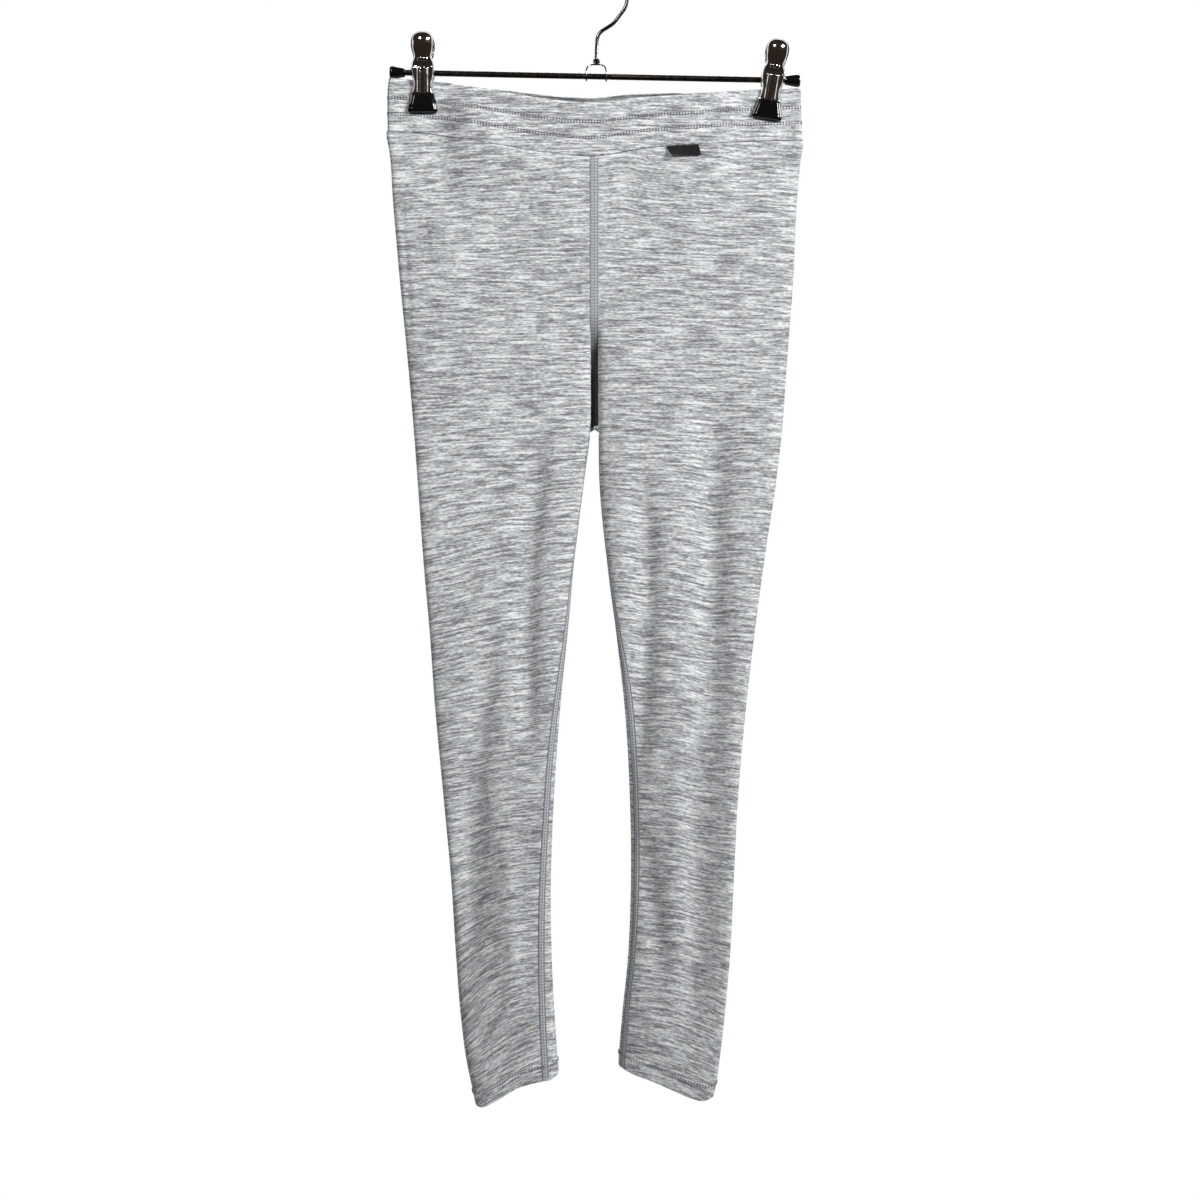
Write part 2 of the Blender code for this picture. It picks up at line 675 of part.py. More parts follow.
def hanger():
    metal = (CHROME, 0.18, 1.0)
    rubber = (BLACK_RUBBER, 0.6, 0.0)
    half = (ROD_ENDS[1] - ROD_ENDS[0]) / 2
    middle = (ROD_ENDS[1] + ROD_ENDS[0]) / 2
    turned("rod", ((-half, ROD_RADIUS), (half, ROD_RADIUS)), 16, metal, rod_frame(middle))
    cap = (
        (1.0, CAP_BORE),
        (1.0, 5.0),
        (0.0, 5.3),
        (-1.6, 5.4),
        (-9.0, 4.3),
        (-CAP_LENGTH + 1, 3.6),
        (-CAP_LENGTH + 1, CAP_BORE),
    )
    for name, end, flip in (("cap_right", 0, -1), ("cap_left", 1, 1)):
        profile = [(x * flip, r) for x, r in cap]
        turned(name, profile, 14, rubber, rod_frame(ROD_ENDS[end] - flip * 0.4), closed=True)
    stem = [
        (-2.9, 0.0, -78.7),
        (-2.9, 0.0, -70.0),
        (-2.6, 0.0, -62.0),
        (-1.8, 0.0, -55.6),
        (1.4, 0.0, -51.4),
        (6.6, 0.0, -48.0),
        (11.6, 0.0, -44.4),
    ]
    arc = []
    for k in range(13):
        turn = math.radians(HOOK_START + k * HOOK_SWEEP / 12)
        x = HOOK_RADIUS * math.cos(turn)
        arc.append((x, 0.0, -HOOK_CENTRE_DROP + HOOK_RADIUS * math.sin(turn)))
    tube("hook", smooth_path(stem + arc, 42), WIRE_RADIUS, 8, metal, ball=2.4)
    ring_reach = ROD_RADIUS + BAIL_WIRE + 0.3
    legs = []
    for x in BAIL_X:
        axis = -rod_drop(x)
        legs.append(
            [
                (x, ring_reach, axis + 1.5),
                (x, ring_reach * 0.75, axis - ring_reach * 0.75),
                (x, 0.0, axis - ring_reach),
                (x, -ring_reach * 0.8, axis - ring_reach * 0.7),
                (x, -ring_reach, axis + 0.5),
                (x, -ring_reach * 0.9, axis + 4.5),
            ]
        )
    crown = [
        (BAIL_X[0] + 1.4, -1.5, -BAIL_TOP_DROP - 1.6),
        (BAIL_X[0] + 5.0, 0.0, -BAIL_TOP_DROP + 0.2),
        (SWIVEL_X, 0.0, -BAIL_TOP_DROP + 0.3),
        (BAIL_X[1] - 5.0, 0.0, -BAIL_TOP_DROP + 0.2),
        (BAIL_X[1] - 1.4, -1.5, -BAIL_TOP_DROP - 1.6),
    ]
    tube("bail", smooth_path(legs[0] + crown + legs[1][::-1], 46), BAIL_WIRE, 6, metal)
    upright = Matrix.Translation(Vector((SWIVEL_X, 0.0, -BAIL_TOP_DROP + 1.4)) * MM)
    upright = upright @ Matrix.Rotation(-math.pi / 2, 4, "Y")
    bore = WIRE_RADIUS + 0.3
    collar = ((0.0, bore), (0.0, 2.5), (0.9, 3.1), (1.8, 2.7), (2.7, 3.1), (3.5, 2.4), (3.5, bore))
    turned("swivel", collar, 14, metal, upright, closed=True)
    for side in (0, 1):
        clip(side, metal, rubber)


def clip(side, metal, rubber):
    """Sprung clip: two plates, two rubber pads and the spring that rides on the rod."""
    word = ("right", "left")[side]
    x = CLIP_ORIGIN_X[side]
    spot = Matrix.Translation(Vector((x, 0.0, -rod_drop(x))) * MM)
    lean = spot @ Matrix.Rotation(CLIP_TILT[side], 4, "Y")
    coil = [(-8.8, ROD_RADIUS + 0.35), (-8.8, 4.5)]
    for k in range(6):
        coil.append((-8.8 + 17.6 / 6 * (k + 0.5), 5.1))
        coil.append((-8.8 + 17.6 / 6 * (k + 1), 4.5))
    coil.append((8.8, ROD_RADIUS + 0.35))
    turned("clip_spring_" + word, coil, 12, metal, rod_frame(x), closed=True)
    for face, end in ((-1, "front"), (1, "back")):
        plate(f"clip_plate_{word}_{end}", lean, face, metal)
        pad(f"clip_pad_{word}_{end}", lean, face, rubber)


def plate(name, lean, face, look):
    across = np.array((-1.0, -0.84, -0.4, 0.4, 0.84, 1.0))
    inner, outer = [], []
    for height, half, reach, bulge in PLATE_ROWS:
        x = across * half
        y = reach + bulge * (1 - across**2)
        row = np.stack([x, face * y, np.full_like(x, height)], axis=-1)
        inner.append(row)
        outer.append(row + np.array((0.0, face * PLATE_THICK, 0.0)))
    made = wall(name, np.array(outer), np.array(inner), False, look)
    made.data.transform(lean)
    return made


def pad(name, lean, face, look):
    across = np.array((-1.0, -0.8, 0.0, 0.8, 1.0))
    inner, outer = [], []
    for height, half, thick in PAD_ROWS:
        x = across * half
        edge = np.where(np.abs(across) > 0.9, 0.7, 0.0)
        near = PAD_INNER + edge * 0.6
        far = PAD_INNER + thick - edge
        inner.append(np.stack([x, face * near, np.full_like(x, height)], axis=-1))
        outer.append(np.stack([x, face * far, np.full_like(x, height)], axis=-1))
    made = wall(name, np.array(outer), np.array(inner), False, look)
    made.data.transform(lean)
    return made


for old in list(bpy.data.objects):
    bpy.data.objects.remove(old, do_unlink=True)

right_leg = Leg(-1, RIGHT_LEG_EDGES, RIGHT_HEM, 1)
left_leg = Leg(1, LEFT_LEG_EDGES, LEFT_HEM, 2)
waistband()
leg_panel("leg_right", right_leg)
leg_panel("leg_left", left_leg)
label(left_leg)
hanger()
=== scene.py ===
"""Looks of the base layer pants on their clip hanger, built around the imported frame.

Lengths in the tables are millimetres. Heights are given as the drop below the hang point, the
origin. X runs along the rod, the front of the garment faces -Y and Z is up.
"""

import math

import bmesh
import bpy
import numpy as np
from mathutils import Matrix, Vector


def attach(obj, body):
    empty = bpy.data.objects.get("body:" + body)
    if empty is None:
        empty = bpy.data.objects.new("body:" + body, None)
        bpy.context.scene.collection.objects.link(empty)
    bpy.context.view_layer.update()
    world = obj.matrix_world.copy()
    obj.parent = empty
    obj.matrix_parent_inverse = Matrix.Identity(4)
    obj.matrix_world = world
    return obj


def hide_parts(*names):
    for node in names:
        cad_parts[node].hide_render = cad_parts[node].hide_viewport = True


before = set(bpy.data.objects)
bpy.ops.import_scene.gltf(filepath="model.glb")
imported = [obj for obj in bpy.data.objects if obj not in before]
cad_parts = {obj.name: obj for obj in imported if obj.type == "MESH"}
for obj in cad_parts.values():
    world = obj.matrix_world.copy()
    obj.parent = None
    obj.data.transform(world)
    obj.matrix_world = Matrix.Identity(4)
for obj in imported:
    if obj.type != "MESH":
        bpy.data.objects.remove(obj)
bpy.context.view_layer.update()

MM = 0.001

# Garment sizes, mm
CENTRE_X = -4.7
KNIT_WALL = 1.0
HEM_WALL = 1.7
BAND_WALL = 1.6
SEAM_GAP = 0.3
WAIST_GAP = 0.5
HEM_HEIGHT = 13.0
HEM_RAISE = 0.35
BACK_RISE = 4.5
FRONT_DIP = 2.6
LEG_TOP_DROP = 140.0
LEG_LENGTH = 780.0
CROTCH_DROP = 391.7
CROTCH_HALF_GAP = 1.3
CROTCH_SEAM_DEPTH = 1.7
INSEAM_TURNED = 470.0
HIP_END_DROP = 262.0
LEG_START_DROP = 330.0
GROOVE_SOFTNESS = 1.2
GROOVE_WINDOW = (0.25, 0.8)
CROTCH_SEAM_FROM = 0.97
BAND_MIDDLE_DROP = 120.0
BAND_HALF_SPAN = 176.0
BAND_HEIGHT = 46.0
BAND_HALF_ROOM = 0.25

# Waist seam, mm: how far the cloth draws in, the reach of that and its share on the band, and the stretch
# where the seam is pulled: its middle and spread, and how much more it draws in and opens there
SEAM_TUCK = 1.3
SEAM_TUCK_REACH = 3.2
SEAM_TUCK_BAND = 0.35
SEAM_TUCK_X = 25.0
SEAM_TUCK_SPREAD = 38.0
SEAM_TUCK_MORE = 0.8
WAIST_GAP_MORE = 1.2

# Thread in the waist seam, dark and thicker where the seam is pulled so that it also paints the shade in
# the seam's groove: share of the band's height, radius, and how much thicker it is where pulled
SEAM_THREAD_HEIGHT = 1.012
SEAM_THREAD_RADIUS = 0.34
SEAM_THREAD_MORE = 1.5

# Where the clips squeeze the cloth, mm: their middles, the half width of the flat part, the run of the
# cloth beside it, the half depth of the squeezed band, and how it runs out below
CLIP_X = (-150.7, 142.2)
PINCH_HALF_WIDTH = 14.5
PINCH_FADE = 30.0
PINCH_DEPTH = 2.15
PINCH_BOTTOM = 126.0
PINCH_RUN_OUT = 95.0

# Share of the way to the side where the clips hold the cloth
CLIP_SHARE = 0.83

# Top edge of the waistband: x, drop
WAIST_TOP = (
    (-180, 92),
    (-139.7, 95.6),
    (-83, 103.6),
    (-45, 109),
    (-8.5, 111.6),
    (30, 108.1),
    (84, 105.4),
    (137, 102.1),
    (171.5, 101),
)

# Seam that joins the waistband to the legs: x, drop
WAIST_SEAM = (
    (-181, 137.1),
    (-162, 137.3),
    (-125, 142),
    (-83, 149.4),
    (-45, 155.4),
    (-5, 158.6),
    (39, 151.8),
    (83, 148.6),
    (131, 145.2),
    (172.5, 143.9),
)

# Side edges of the waistband: drop, wearer's right x, wearer's left x
BAND_SIDES = (
    (90, -179.6, 170.6),
    (101, -180.8, 170.9),
    (120, -181, 171.2),
    (137, -180.9, 172),
    (146, -180.9, 172.4),
)

# Leg on the wearer's right: drop, side edge x, inner edge x, sway of the middle towards the back, and
# turn, how much nearer to the front each mm towards +X lies
RIGHT_LEG_EDGES = (
    (130, -180.8, -8.1, 0, 0),
    (141, -181.8, -8.1, 0, 0),
    (150, -180, -8.1, 0, 0),
    (195, -176.3, -8.1, 0, 0),
    (263, -170.3, -8.1, 0, 0),
    (331, -163.5, -8.1, 0, 0),
    (392, -158.2, -8.6, 0, 0),
    (433, -155, -13.8, -0.5, 0),
    (501, -150, -22, -1.5, 0),
    (570, -144, -28.1, -2.5, 0.02),
    (621, -140.5, -33.2, -2.5, 0.04),
    (706, -132.9, -39.2, -1, 0.08),
    (774, -126.9, -41.7, 0.5, 0.11),
    (842, -122.6, -40.9, 1.5, 0.12),
    (893, -118.5, -38.3, 2, 0.11),
    (927, -114.1, -36, 2.5, 0.10),
    (944, -110.7, -34.9, 2.5, 0.10),
    (967, -105.4, -34.5, 3, 0.10),
)

# Leg on the wearer's left, in the same columns
LEFT_LEG_EDGES = (
    (136, 171.8, -1.3, 0, 0),
    (149, 172.9, -1.3, 0, 0),
    (158, 171.4, -1.3, 0, 0),
    (195, 167.8, -1.3, 0, 0),
    (263, 164.4, -1.3, 0, 0),
    (331, 159.2, -1.3, 0, 0),
    (392, 154.6, -0.8, 0, 0),
    (433, 149.9, -0.2, -0.5, 0),
    (501, 139.7, 6, -1, 0),
    (570, 130.3, 14.5, -2, 0.03),
    (621, 124.3, 20.4, -2, 0.07),
    (706, 116.7, 25.5, -0.5, 0.15),
    (774, 113.3, 26.4, 1, 0.20),
    (842, 109.9, 23.8, 2, 0.20),
    (893, 105.2, 18.7, 2.5, 0.18),
    (927, 101.3, 16.2, 3, 0.17),
    (944, 98.8, 16.4, 3, 0.17),
    (961, 94.8, 17, 3, 0.17),
)

# Bottom edge of each leg: share of the way from the inner to the side edge, drop
RIGHT_HEM = (
    (0, 937),
    (0.06, 940.5),
    (0.20, 943),
    (0.35, 945.5),
    (0.51, 949.5),
    (0.69, 957.5),
    (0.84, 963.6),
    (0.94, 966.4),
    (1, 965.6),
)
LEFT_HEM = (
    (0, 932.5),
    (0.12, 937.2),
    (0.33, 943),
    (0.55, 950),
    (0.76, 956.8),
    (0.90, 958.8),
    (1, 956),
)

# Fullness of the cloth: drop, front depth, back depth, roundness of the wearer's right side and of the
# left side, roundness inside
FULLNESS = (
    (90, 9.8, 9.8, 5, 5, 4),
    (125, 10, 10.2, 5, 5, 4),
    (160, 11, 12.2, 5.6, 5.4, 4),
    (230, 12.6, 16, 7, 6.5, 4),
    (331, 14, 18.5, 8, 7, 6.5),
    (400, 15, 19.5, 8, 7.5, 7),
    (500, 15.6, 19, 8, 7.5, 5.6),
    (604, 15.4, 18, 8, 7.5, 5),
    (740, 14.8, 16.5, 6.5, 7.5, 4.4),
    (876, 14, 15, 4.6, 7, 3.6),
    (970, 13.2, 13.6, 3.6, 6, 3),
)

# How much of the fullness the rise seams keep: drop, front share, back share
RISE_SEAM = (
    (130, 1, 1),
    (262, 1, 1),
    (290, 0.80, 0.94),
    (318, 0.42, 0.74),
    (345, 0.16, 0.46),
    (392, 0.1, 0.08),
)

# Inseam: drop, distance from the inner edge towards the front on the right and on the left leg
INSEAM = (
    (392, 0, 0),
    (500, 0.2, 0.2),
    (561, 1.2, 1.9),
    (593, 2.3, 3.6),
    (621, 3.5, 4.9),
    (658, 4.9, 5.2),
    (748, 6.3, 4.9),
    (808, 7.7, 4.3),
    (864, 9.1, 3.4),
    (912, 10.2, 3.5),
    (970, 11.2, 3.6),
)

# Folds: leg (-1 wearer's right, 1 wearer's left), face (-1 front, 1 back), then drop and x at the
# top, middle and bottom, half width towards -X and towards +X, and depth (troughs positive, ridges
# negative)
FOLDS = (
    (-1, -1, 128, -146, 190, -126, 262, -104, 14, 10, 1.4),
    (-1, -1, 360, -46, 525, -61, 700, -59, 15, 10, 6.6),
    (-1, -1, 505, -86, 640, -101, 840, -104, 14, 12, 5),
    (-1, -1, 640, -116, 770, -114, 950, -108, 18, 15, 3),
    (-1, -1, 690, -78, 800, -76, 930, -74, 12, 12, -2.4),
    (-1, -1, 885, -60, 914, -76, 948, -94, 11, 8, 2.2),
    (1, -1, 128, 138, 190, 116, 262, 98, 14, 10, 1.2),
    (1, -1, 395, 34, 545, 39, 715, 27, 13, 10, 6.6),
    (1, -1, 330, 96, 505, 94, 730, 88, 15, 15, 9),
    (1, -1, 560, 66, 700, 66, 860, 68, 14, 12, -2.2),
    (1, -1, 725, 37, 800, 46, 880, 58, 11, 9, 4),
    (1, -1, 645, 80, 775, 82, 945, 80, 13, 24, 7),
    (-1, 1, 128, -148, 200, -122, 290, -92, 14, 11, 1.6),
    (-1, 1, 420, -118, 540, -112, 680, -108, 13, 9, 3.6),
    (-1, 1, 500, -60, 610, -66, 720, -64, 9, 12, 3.2),
    (-1, 1, 660, -88, 770, -84, 870, -84, 14, 11, -2.4),
    (1, 1, 128, 140, 200, 112, 290, 86, 12, 14, 1.6),
    (1, 1, 400, 48, 520, 52, 660, 52, 12, 9, 3.4),
    (1, 1, 450, 96, 580, 94, 720, 88, 13, 9, 3.6),
    (1, 1, 690, 64, 790, 62, 880, 58, 12, 14, -2.2),
)

# Smaller creases of the hanging cloth, in the same columns
CREASES = (
    (-1, -1, 128, -146, 190, -126, 262, -104, 14, 10, -0.8),
    (-1, -1, 160, -20, 185, -42, 214, -66, 9.1, 7, 0.35),
    (-1, -1, 150, -96, 205, -88, 268, -86, 15.6, 12, 0.5),
    (-1, -1, 172, -171.5, 250, -164, 345, -160.5, 2.9, 2.2, 0.9),
    (-1, -1, 250, -150, 300, -146, 365, -140, 11.7, 9, 0.6),
    (-1, -1, 640, -112, 760, -112, 880, -102, 7.8, 6, 1),
    (-1, -1, 840, -72, 880, -88, 930, -104, 7.8, 6, 1.2),
    (-1, -1, 815, -56, 860, -62, 905, -74, 8.5, 6.5, 0.9),
    (1, -1, 162, 12, 176, 34, 200, 62, 9.1, 7, 0.45),
    (1, -1, 152, 88, 205, 84, 262, 82, 15.6, 12, 0.5),
    (1, -1, 255, 142, 300, 140, 350, 136, 11.7, 9, 0.6),
    (1, -1, 470, 72, 540, 70, 620, 68, 11.7, 9, 0.7),
    (1, -1, 640, 60, 710, 57, 790, 55, 9.1, 7, 0.9),
    (1, -1, 820, 90, 860, 78, 910, 66, 9.1, 7, 1.2),
    (1, -1, 860, 40, 890, 56, 926, 76, 8.5, 6.5, 1),
    (-1, 1, 160, -24, 190, -48, 226, -80, 11.7, 9, 0.6),
    (-1, 1, 340, -40, 400, -60, 470, -84, 11.7, 9, 1),
    (-1, 1, 730, -108, 790, -104, 860, -98, 8.5, 6.5, 0.9),
    (-1, 1, 850, -60, 890, -74, 930, -90, 8.5, 6.5, 0.8),
    (1, 1, 160, 20, 192, 44, 230, 76, 11.7, 9, 0.6),
    (1, 1, 345, 38, 405, 58, 468, 80, 11.7, 9, 1),
    (1, 1, 640, 92, 720, 96, 800, 92, 9.1, 7, 0.9),
    (1, 1, 850, 34, 885, 48, 925, 70, 8.5, 6.5, 0.8),
)

# Share of a fold's length over which each of its ends runs out, and the depths of the cloth, mm, between
# which folds grow to their own depth
FOLD_RUN_OUT = 0.3
FOLD_ROOM = (2.0, 9.0)

# How far one course of the knit drops on its way from the inner to the side edge of a leg:
# drop, fall on the wearer's right, fall on the wearer's left, power of the curve
COURSES = (
    (130, 4, 4, 1),
    (170, 5, 8, 1),
    (300, 2, 3, 1.2),
    (400, 8, 4, 1.3),
    (500, 22, 8, 1.3),
    (600, 20, 12, 1.4),
    (720, 16, 12, 1.6),
    (840, 30, 14, 2.2),
    (900, 40, 20, 1.9),
    (970, 34, 26, 1.3),
)

# Arch of the courses beside the top of the centre seam, mm: middle, half width, rise, drops it fades over
ARCH_X = 20.0
ARCH_HALF = 15.0
ARCH_RISE = 3.4
ARCH_DROPS = (165.0, 250.0)

# Painted shade on the knit's reverse side, inside the garment: its tone as a share of its face
REVERSE_SHADE_TONE = 0.38

# Share of a fold's depth by which the courses of the knit dip in it
COURSE_DIP = 0.3

# Flatlock seams over the rise and the inseam, mm: half widths, where the painted shade line along the edges
# starts, lift over the cloth, thickness, pitch of the needle holes along and across, and height of the
# ridges; then the drop from which the front's band is painted dark, painted shade of the gap between the
# legs, and the run over which that painted shade grows
FLATLOCK_HALF = 3.5
INSEAM_HALF = 2.7
EDGE_SHADE_FROM = 3.0
INSEAM_EDGE_SHADE_FROM = 1.8
FLATLOCK_LIFT = 0.06
FLATLOCK_THICK = 0.22
HOLE_PITCH = 2.6
HOLE_COLUMNS = 2.05
RISE_RIDGE = 0.09
INSEAM_RIDGE = 0.14
PAINTED_SHADE_DROP = 292.0
PAINTED_SHADE_FADE = 36.0

# Roundness of the back's outer edges, as a share of the front's
BACK_ROUNDNESS = 0.6

# Rows of stitches, mm; a stitch fills a share of its pitch and lies up by a share of its radius
STITCH_PITCH = 2.5
STITCH_RADIUS = 0.48
STITCH_FILL = 0.5
STITCH_LIFT = 0.35
STITCH_SIDES = 6
STITCH_WIDE = 1.15
STITCH_FLAT = 0.8
BAND_STITCH_SHARES = (0.36, 0.665)
TWIN_NEEDLE = 1.7
HEM_STITCH_ABOVE = 1.1

# One stitch: share along it, share of its radius, height in radii
STITCH_ROWS = (
    (-0.5, 0.35, -0.75),
    (-0.3, 0.9, 0.1),
    (0, 1, 0.3),
    (0.3, 0.9, 0.1),
    (0.5, 0.35, -0.75),
)

# Label in the waist seam, mm: x of its two sides at the top and at the bottom, its bottom edge, how far
# its top lies under the seam's line, thickness, lift of its two lower corners, and lift over the panel
LABEL_TOP_X = (56.6, 83.6)
LABEL_BOTTOM_X = (59.6, 85.6)
LABEL_BOTTOM_DROP = 158.4
LABEL_TOP_UNDER = 1.2
LABEL_THICK = 0.9
LABEL_CURL = (4.4, 1.2)
LABEL_LIFT = 0.4

# Hanger sizes, mm
ROD_RADIUS = 2.5
CRIMP_RADIUS = 2.35
ROD_DROP = 90.0
ROD_TILT = 0.0202
ROD_ENDS = (-178.2, 169.6)
CAP_BORE = 2.8
WIRE_RADIUS = 1.6
HOOK_RADIUS = 23.3
HOOK_CENTRE_DROP = 21.7
HOOK_START = -44.0
HOOK_SWEEP = 222.0
BAIL_X = (-11.6, 5.2)
BAIL_WIRE = 0.65
BAIL_TOP_DROP = 80.0
SWIVEL_X = -2.9
SPRING_TURNS = 9
SPRING_RADIUS = 4.25
SPRING_HALF = 7.9
SPRING_WIRE = 0.8
CLIP_TILT = (0.0, math.radians(9.0))
CLIP_ORIGIN_X = (-150.7, 146.8)
PLATE_THICK = 0.9
PAD_INNER = 2.75
PAD_HALF = 12.7
PAD_CORNER = 3.4
RIB_X = (-3.3, 3.1)
RIB_HALF = 1.8
RIB_HEIGHT = 1.3
RIB_TOP = 4.0
RIB_BOTTOM = -17.8
LEDGE_LOW = 4.2
LEDGE_HIGH = 8.6
LEDGE_DEPTH = 0.6
TEETH_LOW = 8.8
TEETH_HIGH = 11.4
TEETH_HALF = 5.2
TEETH_PITCH = 2.3
TEETH_RISE = 0.7
RIM_WIDTH = 1.6
RIM_DROP = 1.7

# Outline and side profile of one clip plate, from the knob down to the pad:
# height above the rod, half width, distance of the inner face from the middle, bulge outwards
PLATE_ROWS = (
    (33.4, 3.2, 11.4, 0.2),
    (31.6, 6.8, 11, 1.8),
    (28.2, 9.2, 10.4, 4.2),
    (23.6, 9.9, 9.4, 5.4),
    (17.6, 9.2, 8.2, 4.4),
    (12.2, 7.9, 7, 2.2),
    (8.2, 9.4, 6.2, 1.4),
    (-3, 9.5, 4.9, 1.6),
    (-8.6, 8.1, 4.5, 1.6),
    (-18.2, 9.2, 3.7, 1.5),
)

# Rubber pad on the jaw: height above the rod, half width, thickness
PAD_ROWS = (
    (-18.5, 9.3, 2.6),
    (-24, 10.8, 3.2),
    (-29.5, 12.3, 3.4),
    (-33.4, 12.7, 3.2),
    (-35.2, 11.2, 2.2),
)

# Camera: level, straight on; the width it sees at the hanger, and the centre of its view, m
VIEW_DISTANCE = 2.3
VIEW_WIDTH = 1.0219
VIEW_CENTRE_DROP = 0.5357
SENSOR = 36.0

# Floor, m, and the faint light of its own
FLOOR_DROP = 2.0
FLOOR_RADIUS = 4.0
FLOOR_GLOW = 0.12

# Lamps: name, place, point they face, width and height, m; power, W; spread, degrees
LAMPS = (
    ("key", (3.1, -2.65, 1.2), (0, 0, -0.16), (1, 1), 23.6, 60),
    ("fill", (-1.25, -2.35, 1.15), (0, 0, -0.2), (0.5, 0.8), 5.2, 80),
    ("back", (0.5, 2.1, 0.7), (0, 0, -0.5), (1.6, 0.8), 34, 180),
)

# Colours of the room from the front, 0, to behind the object, 1: as it lights cloth, as metal mirrors it,
# and as the picture shows it; what metal mirrors is read nearer to the front above and below
WHITE = (1, 1, 1)
SOFT_ROOM = ((0.62, (0.04, 0.04, 0.04)), (0.85, (0.2, 0.2, 0.2)))
MIRROR_ROOM = (
    (0, (0.026, 0.019, 0.015)),
    (0.38, (0.026, 0.019, 0.015)),
    (0.47, WHITE),
    (0.66, WHITE),
    (0.76, (0.03, 0.028, 0.026)),
)
MIRROR_DIM = -0.25
PICTURE_ROOM = ((0, WHITE), (1, WHITE))

# Noises of the melange: size of the flecks along and across the courses, mm, shift, weight
MELANGE_NOISES = (
    (24, 1.9, 3.1, 1.6),
    (9, 1.2, 17.7, 0.9),
    (3.8, 0.95, 29.3, 1.15),
    (46, 5, 41.3, 0.55),
    (75, 34, 9.9, 0.2),
)

# Tones of the melange from dark to pale, and the cool and warm tint over them
MELANGE_TONES = (
    (0, (0.20, 0.209, 0.220)),
    (0.25, (0.335, 0.348, 0.362)),
    (0.5, (0.49, 0.509, 0.523)),
    (0.75, (0.67, 0.693, 0.705)),
    (1, (0.87, 0.894, 0.895)),
)
MELANGE_TINTS = (
    (0.30, (0.965, 0.965, 1)),
    (0.48, WHITE),
    (0.60, (1, 1, 0.99)),
    (0.75, (1, 0.99, 0.94)),
)

# Fineness of the meshes
LEG_ROWS = 250
LEG_FRONT = 84
LEG_BACK = 64
BAND_ACROSS = 161
LINE_SAMPLES = 320
RIM_STEPS = 3

# Steps down the hem, in hem heights over the bottom edge
HEM_STEPS = (1.05, 1, 0.95, 0.88, 0.75, 0.55, 0.35, 0.18, 0.06, 0)


# Shapes of the cloth


def column(table, index, at):
    """Smooth curve through one column of a table, read at the values of its first column."""
    rows = np.array(table, dtype=float)
    x, y = rows[:, 0], rows[:, index]
    slope = np.gradient(y, x)
    at = np.clip(at, x[0], x[-1])
    low = np.clip(np.searchsorted(x, at) - 1, 0, len(x) - 2)
    span = x[low + 1] - x[low]
    s = (at - x[low]) / span
    return (
        y[low] * (1 + 2 * s) * (1 - s) ** 2
        + slope[low] * span * s * (1 - s) ** 2
        + y[low + 1] * s * s * (3 - 2 * s)
        + slope[low + 1] * span * s * s * (s - 1)
    )


def ease(value, low, high):
    """0 below low, 1 above high, smooth between."""
    s = np.clip((value - low) / (high - low), 0.0, 1.0)
    return s * s * (3 - 2 * s)


def dome(share, power):
    """Height of a rounded end: 1 in the middle, 0 at share 1."""
    return (1 - np.clip(np.abs(share), 0, 1) ** power) ** (1 / power)


def pinch(x, drop):
    """1 where a clip squeezes the cloth flat, 0 away from it."""
    fade = 1 - ease(drop, PINCH_BOTTOM, PINCH_BOTTOM + PINCH_RUN_OUT)
    total = np.zeros_like(x * drop)
    for centre in CLIP_X:
        near = 1 - ease(np.abs(x - centre), PINCH_HALF_WIDTH, PINCH_HALF_WIDTH + PINCH_FADE)
        total = total + near
    return np.clip(total, 0, 1) * fade


def pulled_open(x):
    """1 where the waist seam is pulled most, right of the middle, 0 away from there."""
    return np.exp(-(((x - SEAM_TUCK_X) / SEAM_TUCK_SPREAD) ** 2))


def waist_gap(x):
    """Gap of the waist seam."""
    return WAIST_GAP * (1 + WAIST_GAP_MORE * pulled_open(x))


def back_lift(share, face):
    """How much higher the waist lies at the back, at a share of the way to the side."""
    return BACK_RISE * (1 - share**2) ** 2 * (face > 0)


def seam_tuck(face, x, share, drop):
    """The cloth draws in along the waist seam, and the edge of the band stands proud of the legs."""
    away = (drop - column(WAIST_SEAM, 1, x) + back_lift(share, face)) / SEAM_TUCK_REACH
    uneven = 1 + SEAM_TUCK_MORE * pulled_open(x)
    return SEAM_TUCK * uneven * np.where(away < 0, SEAM_TUCK_BAND, 1.0) * np.exp(-away * away)


def open_depth(face, x, side_x, drop):
    """Depth of the cloth, from the middle plane, above the crotch."""
    share = np.clip(np.abs((x - CENTRE_X) / (side_x - CENTRE_X)), 0, 1)
    full = column(FULLNESS, 1 if face < 0 else 2, drop)
    power = np.where(side_x < CENTRE_X, column(FULLNESS, 3, drop), column(FULLNESS, 4, drop))
    power = power * (1 if face < 0 else BACK_ROUNDNESS)
    held = pinch(x, drop)
    at_clip = dome(CLIP_SHARE, power)
    depth = dome(share, power) * (full * (1 - held) + PINCH_DEPTH / at_clip * held)
    return depth - seam_tuck(face, x, share, drop) * dome(share, 4.0) * (1 - held)


def fold_shift(side, face, x, drop):
    """Sum of the folds and creases at a point, positive where the cloth sinks in."""
    total = np.zeros_like(x * drop)
    for leg, on, d0, x0, d1, x1, d2, x2, low_side, high_side, depth in FOLDS + CREASES:
        if leg != side or on != face:
            continue
        middle = (
            x0 * (drop - d1) * (drop - d2) / ((d0 - d1) * (d0 - d2))
            + x1 * (drop - d0) * (drop - d2) / ((d1 - d0) * (d1 - d2))
            + x2 * (drop - d0) * (drop - d1) / ((d2 - d0) * (d2 - d1))
        )
        reach = FOLD_RUN_OUT * (d2 - d0)
        length = ease(drop, d0, d0 + reach) * (1 - ease(drop, d2 - reach, d2))
        away = x - middle
        spread = np.where(away < 0, low_side, high_side)
        total = total + depth * length * np.exp(-((away / spread) ** 2))
    return total


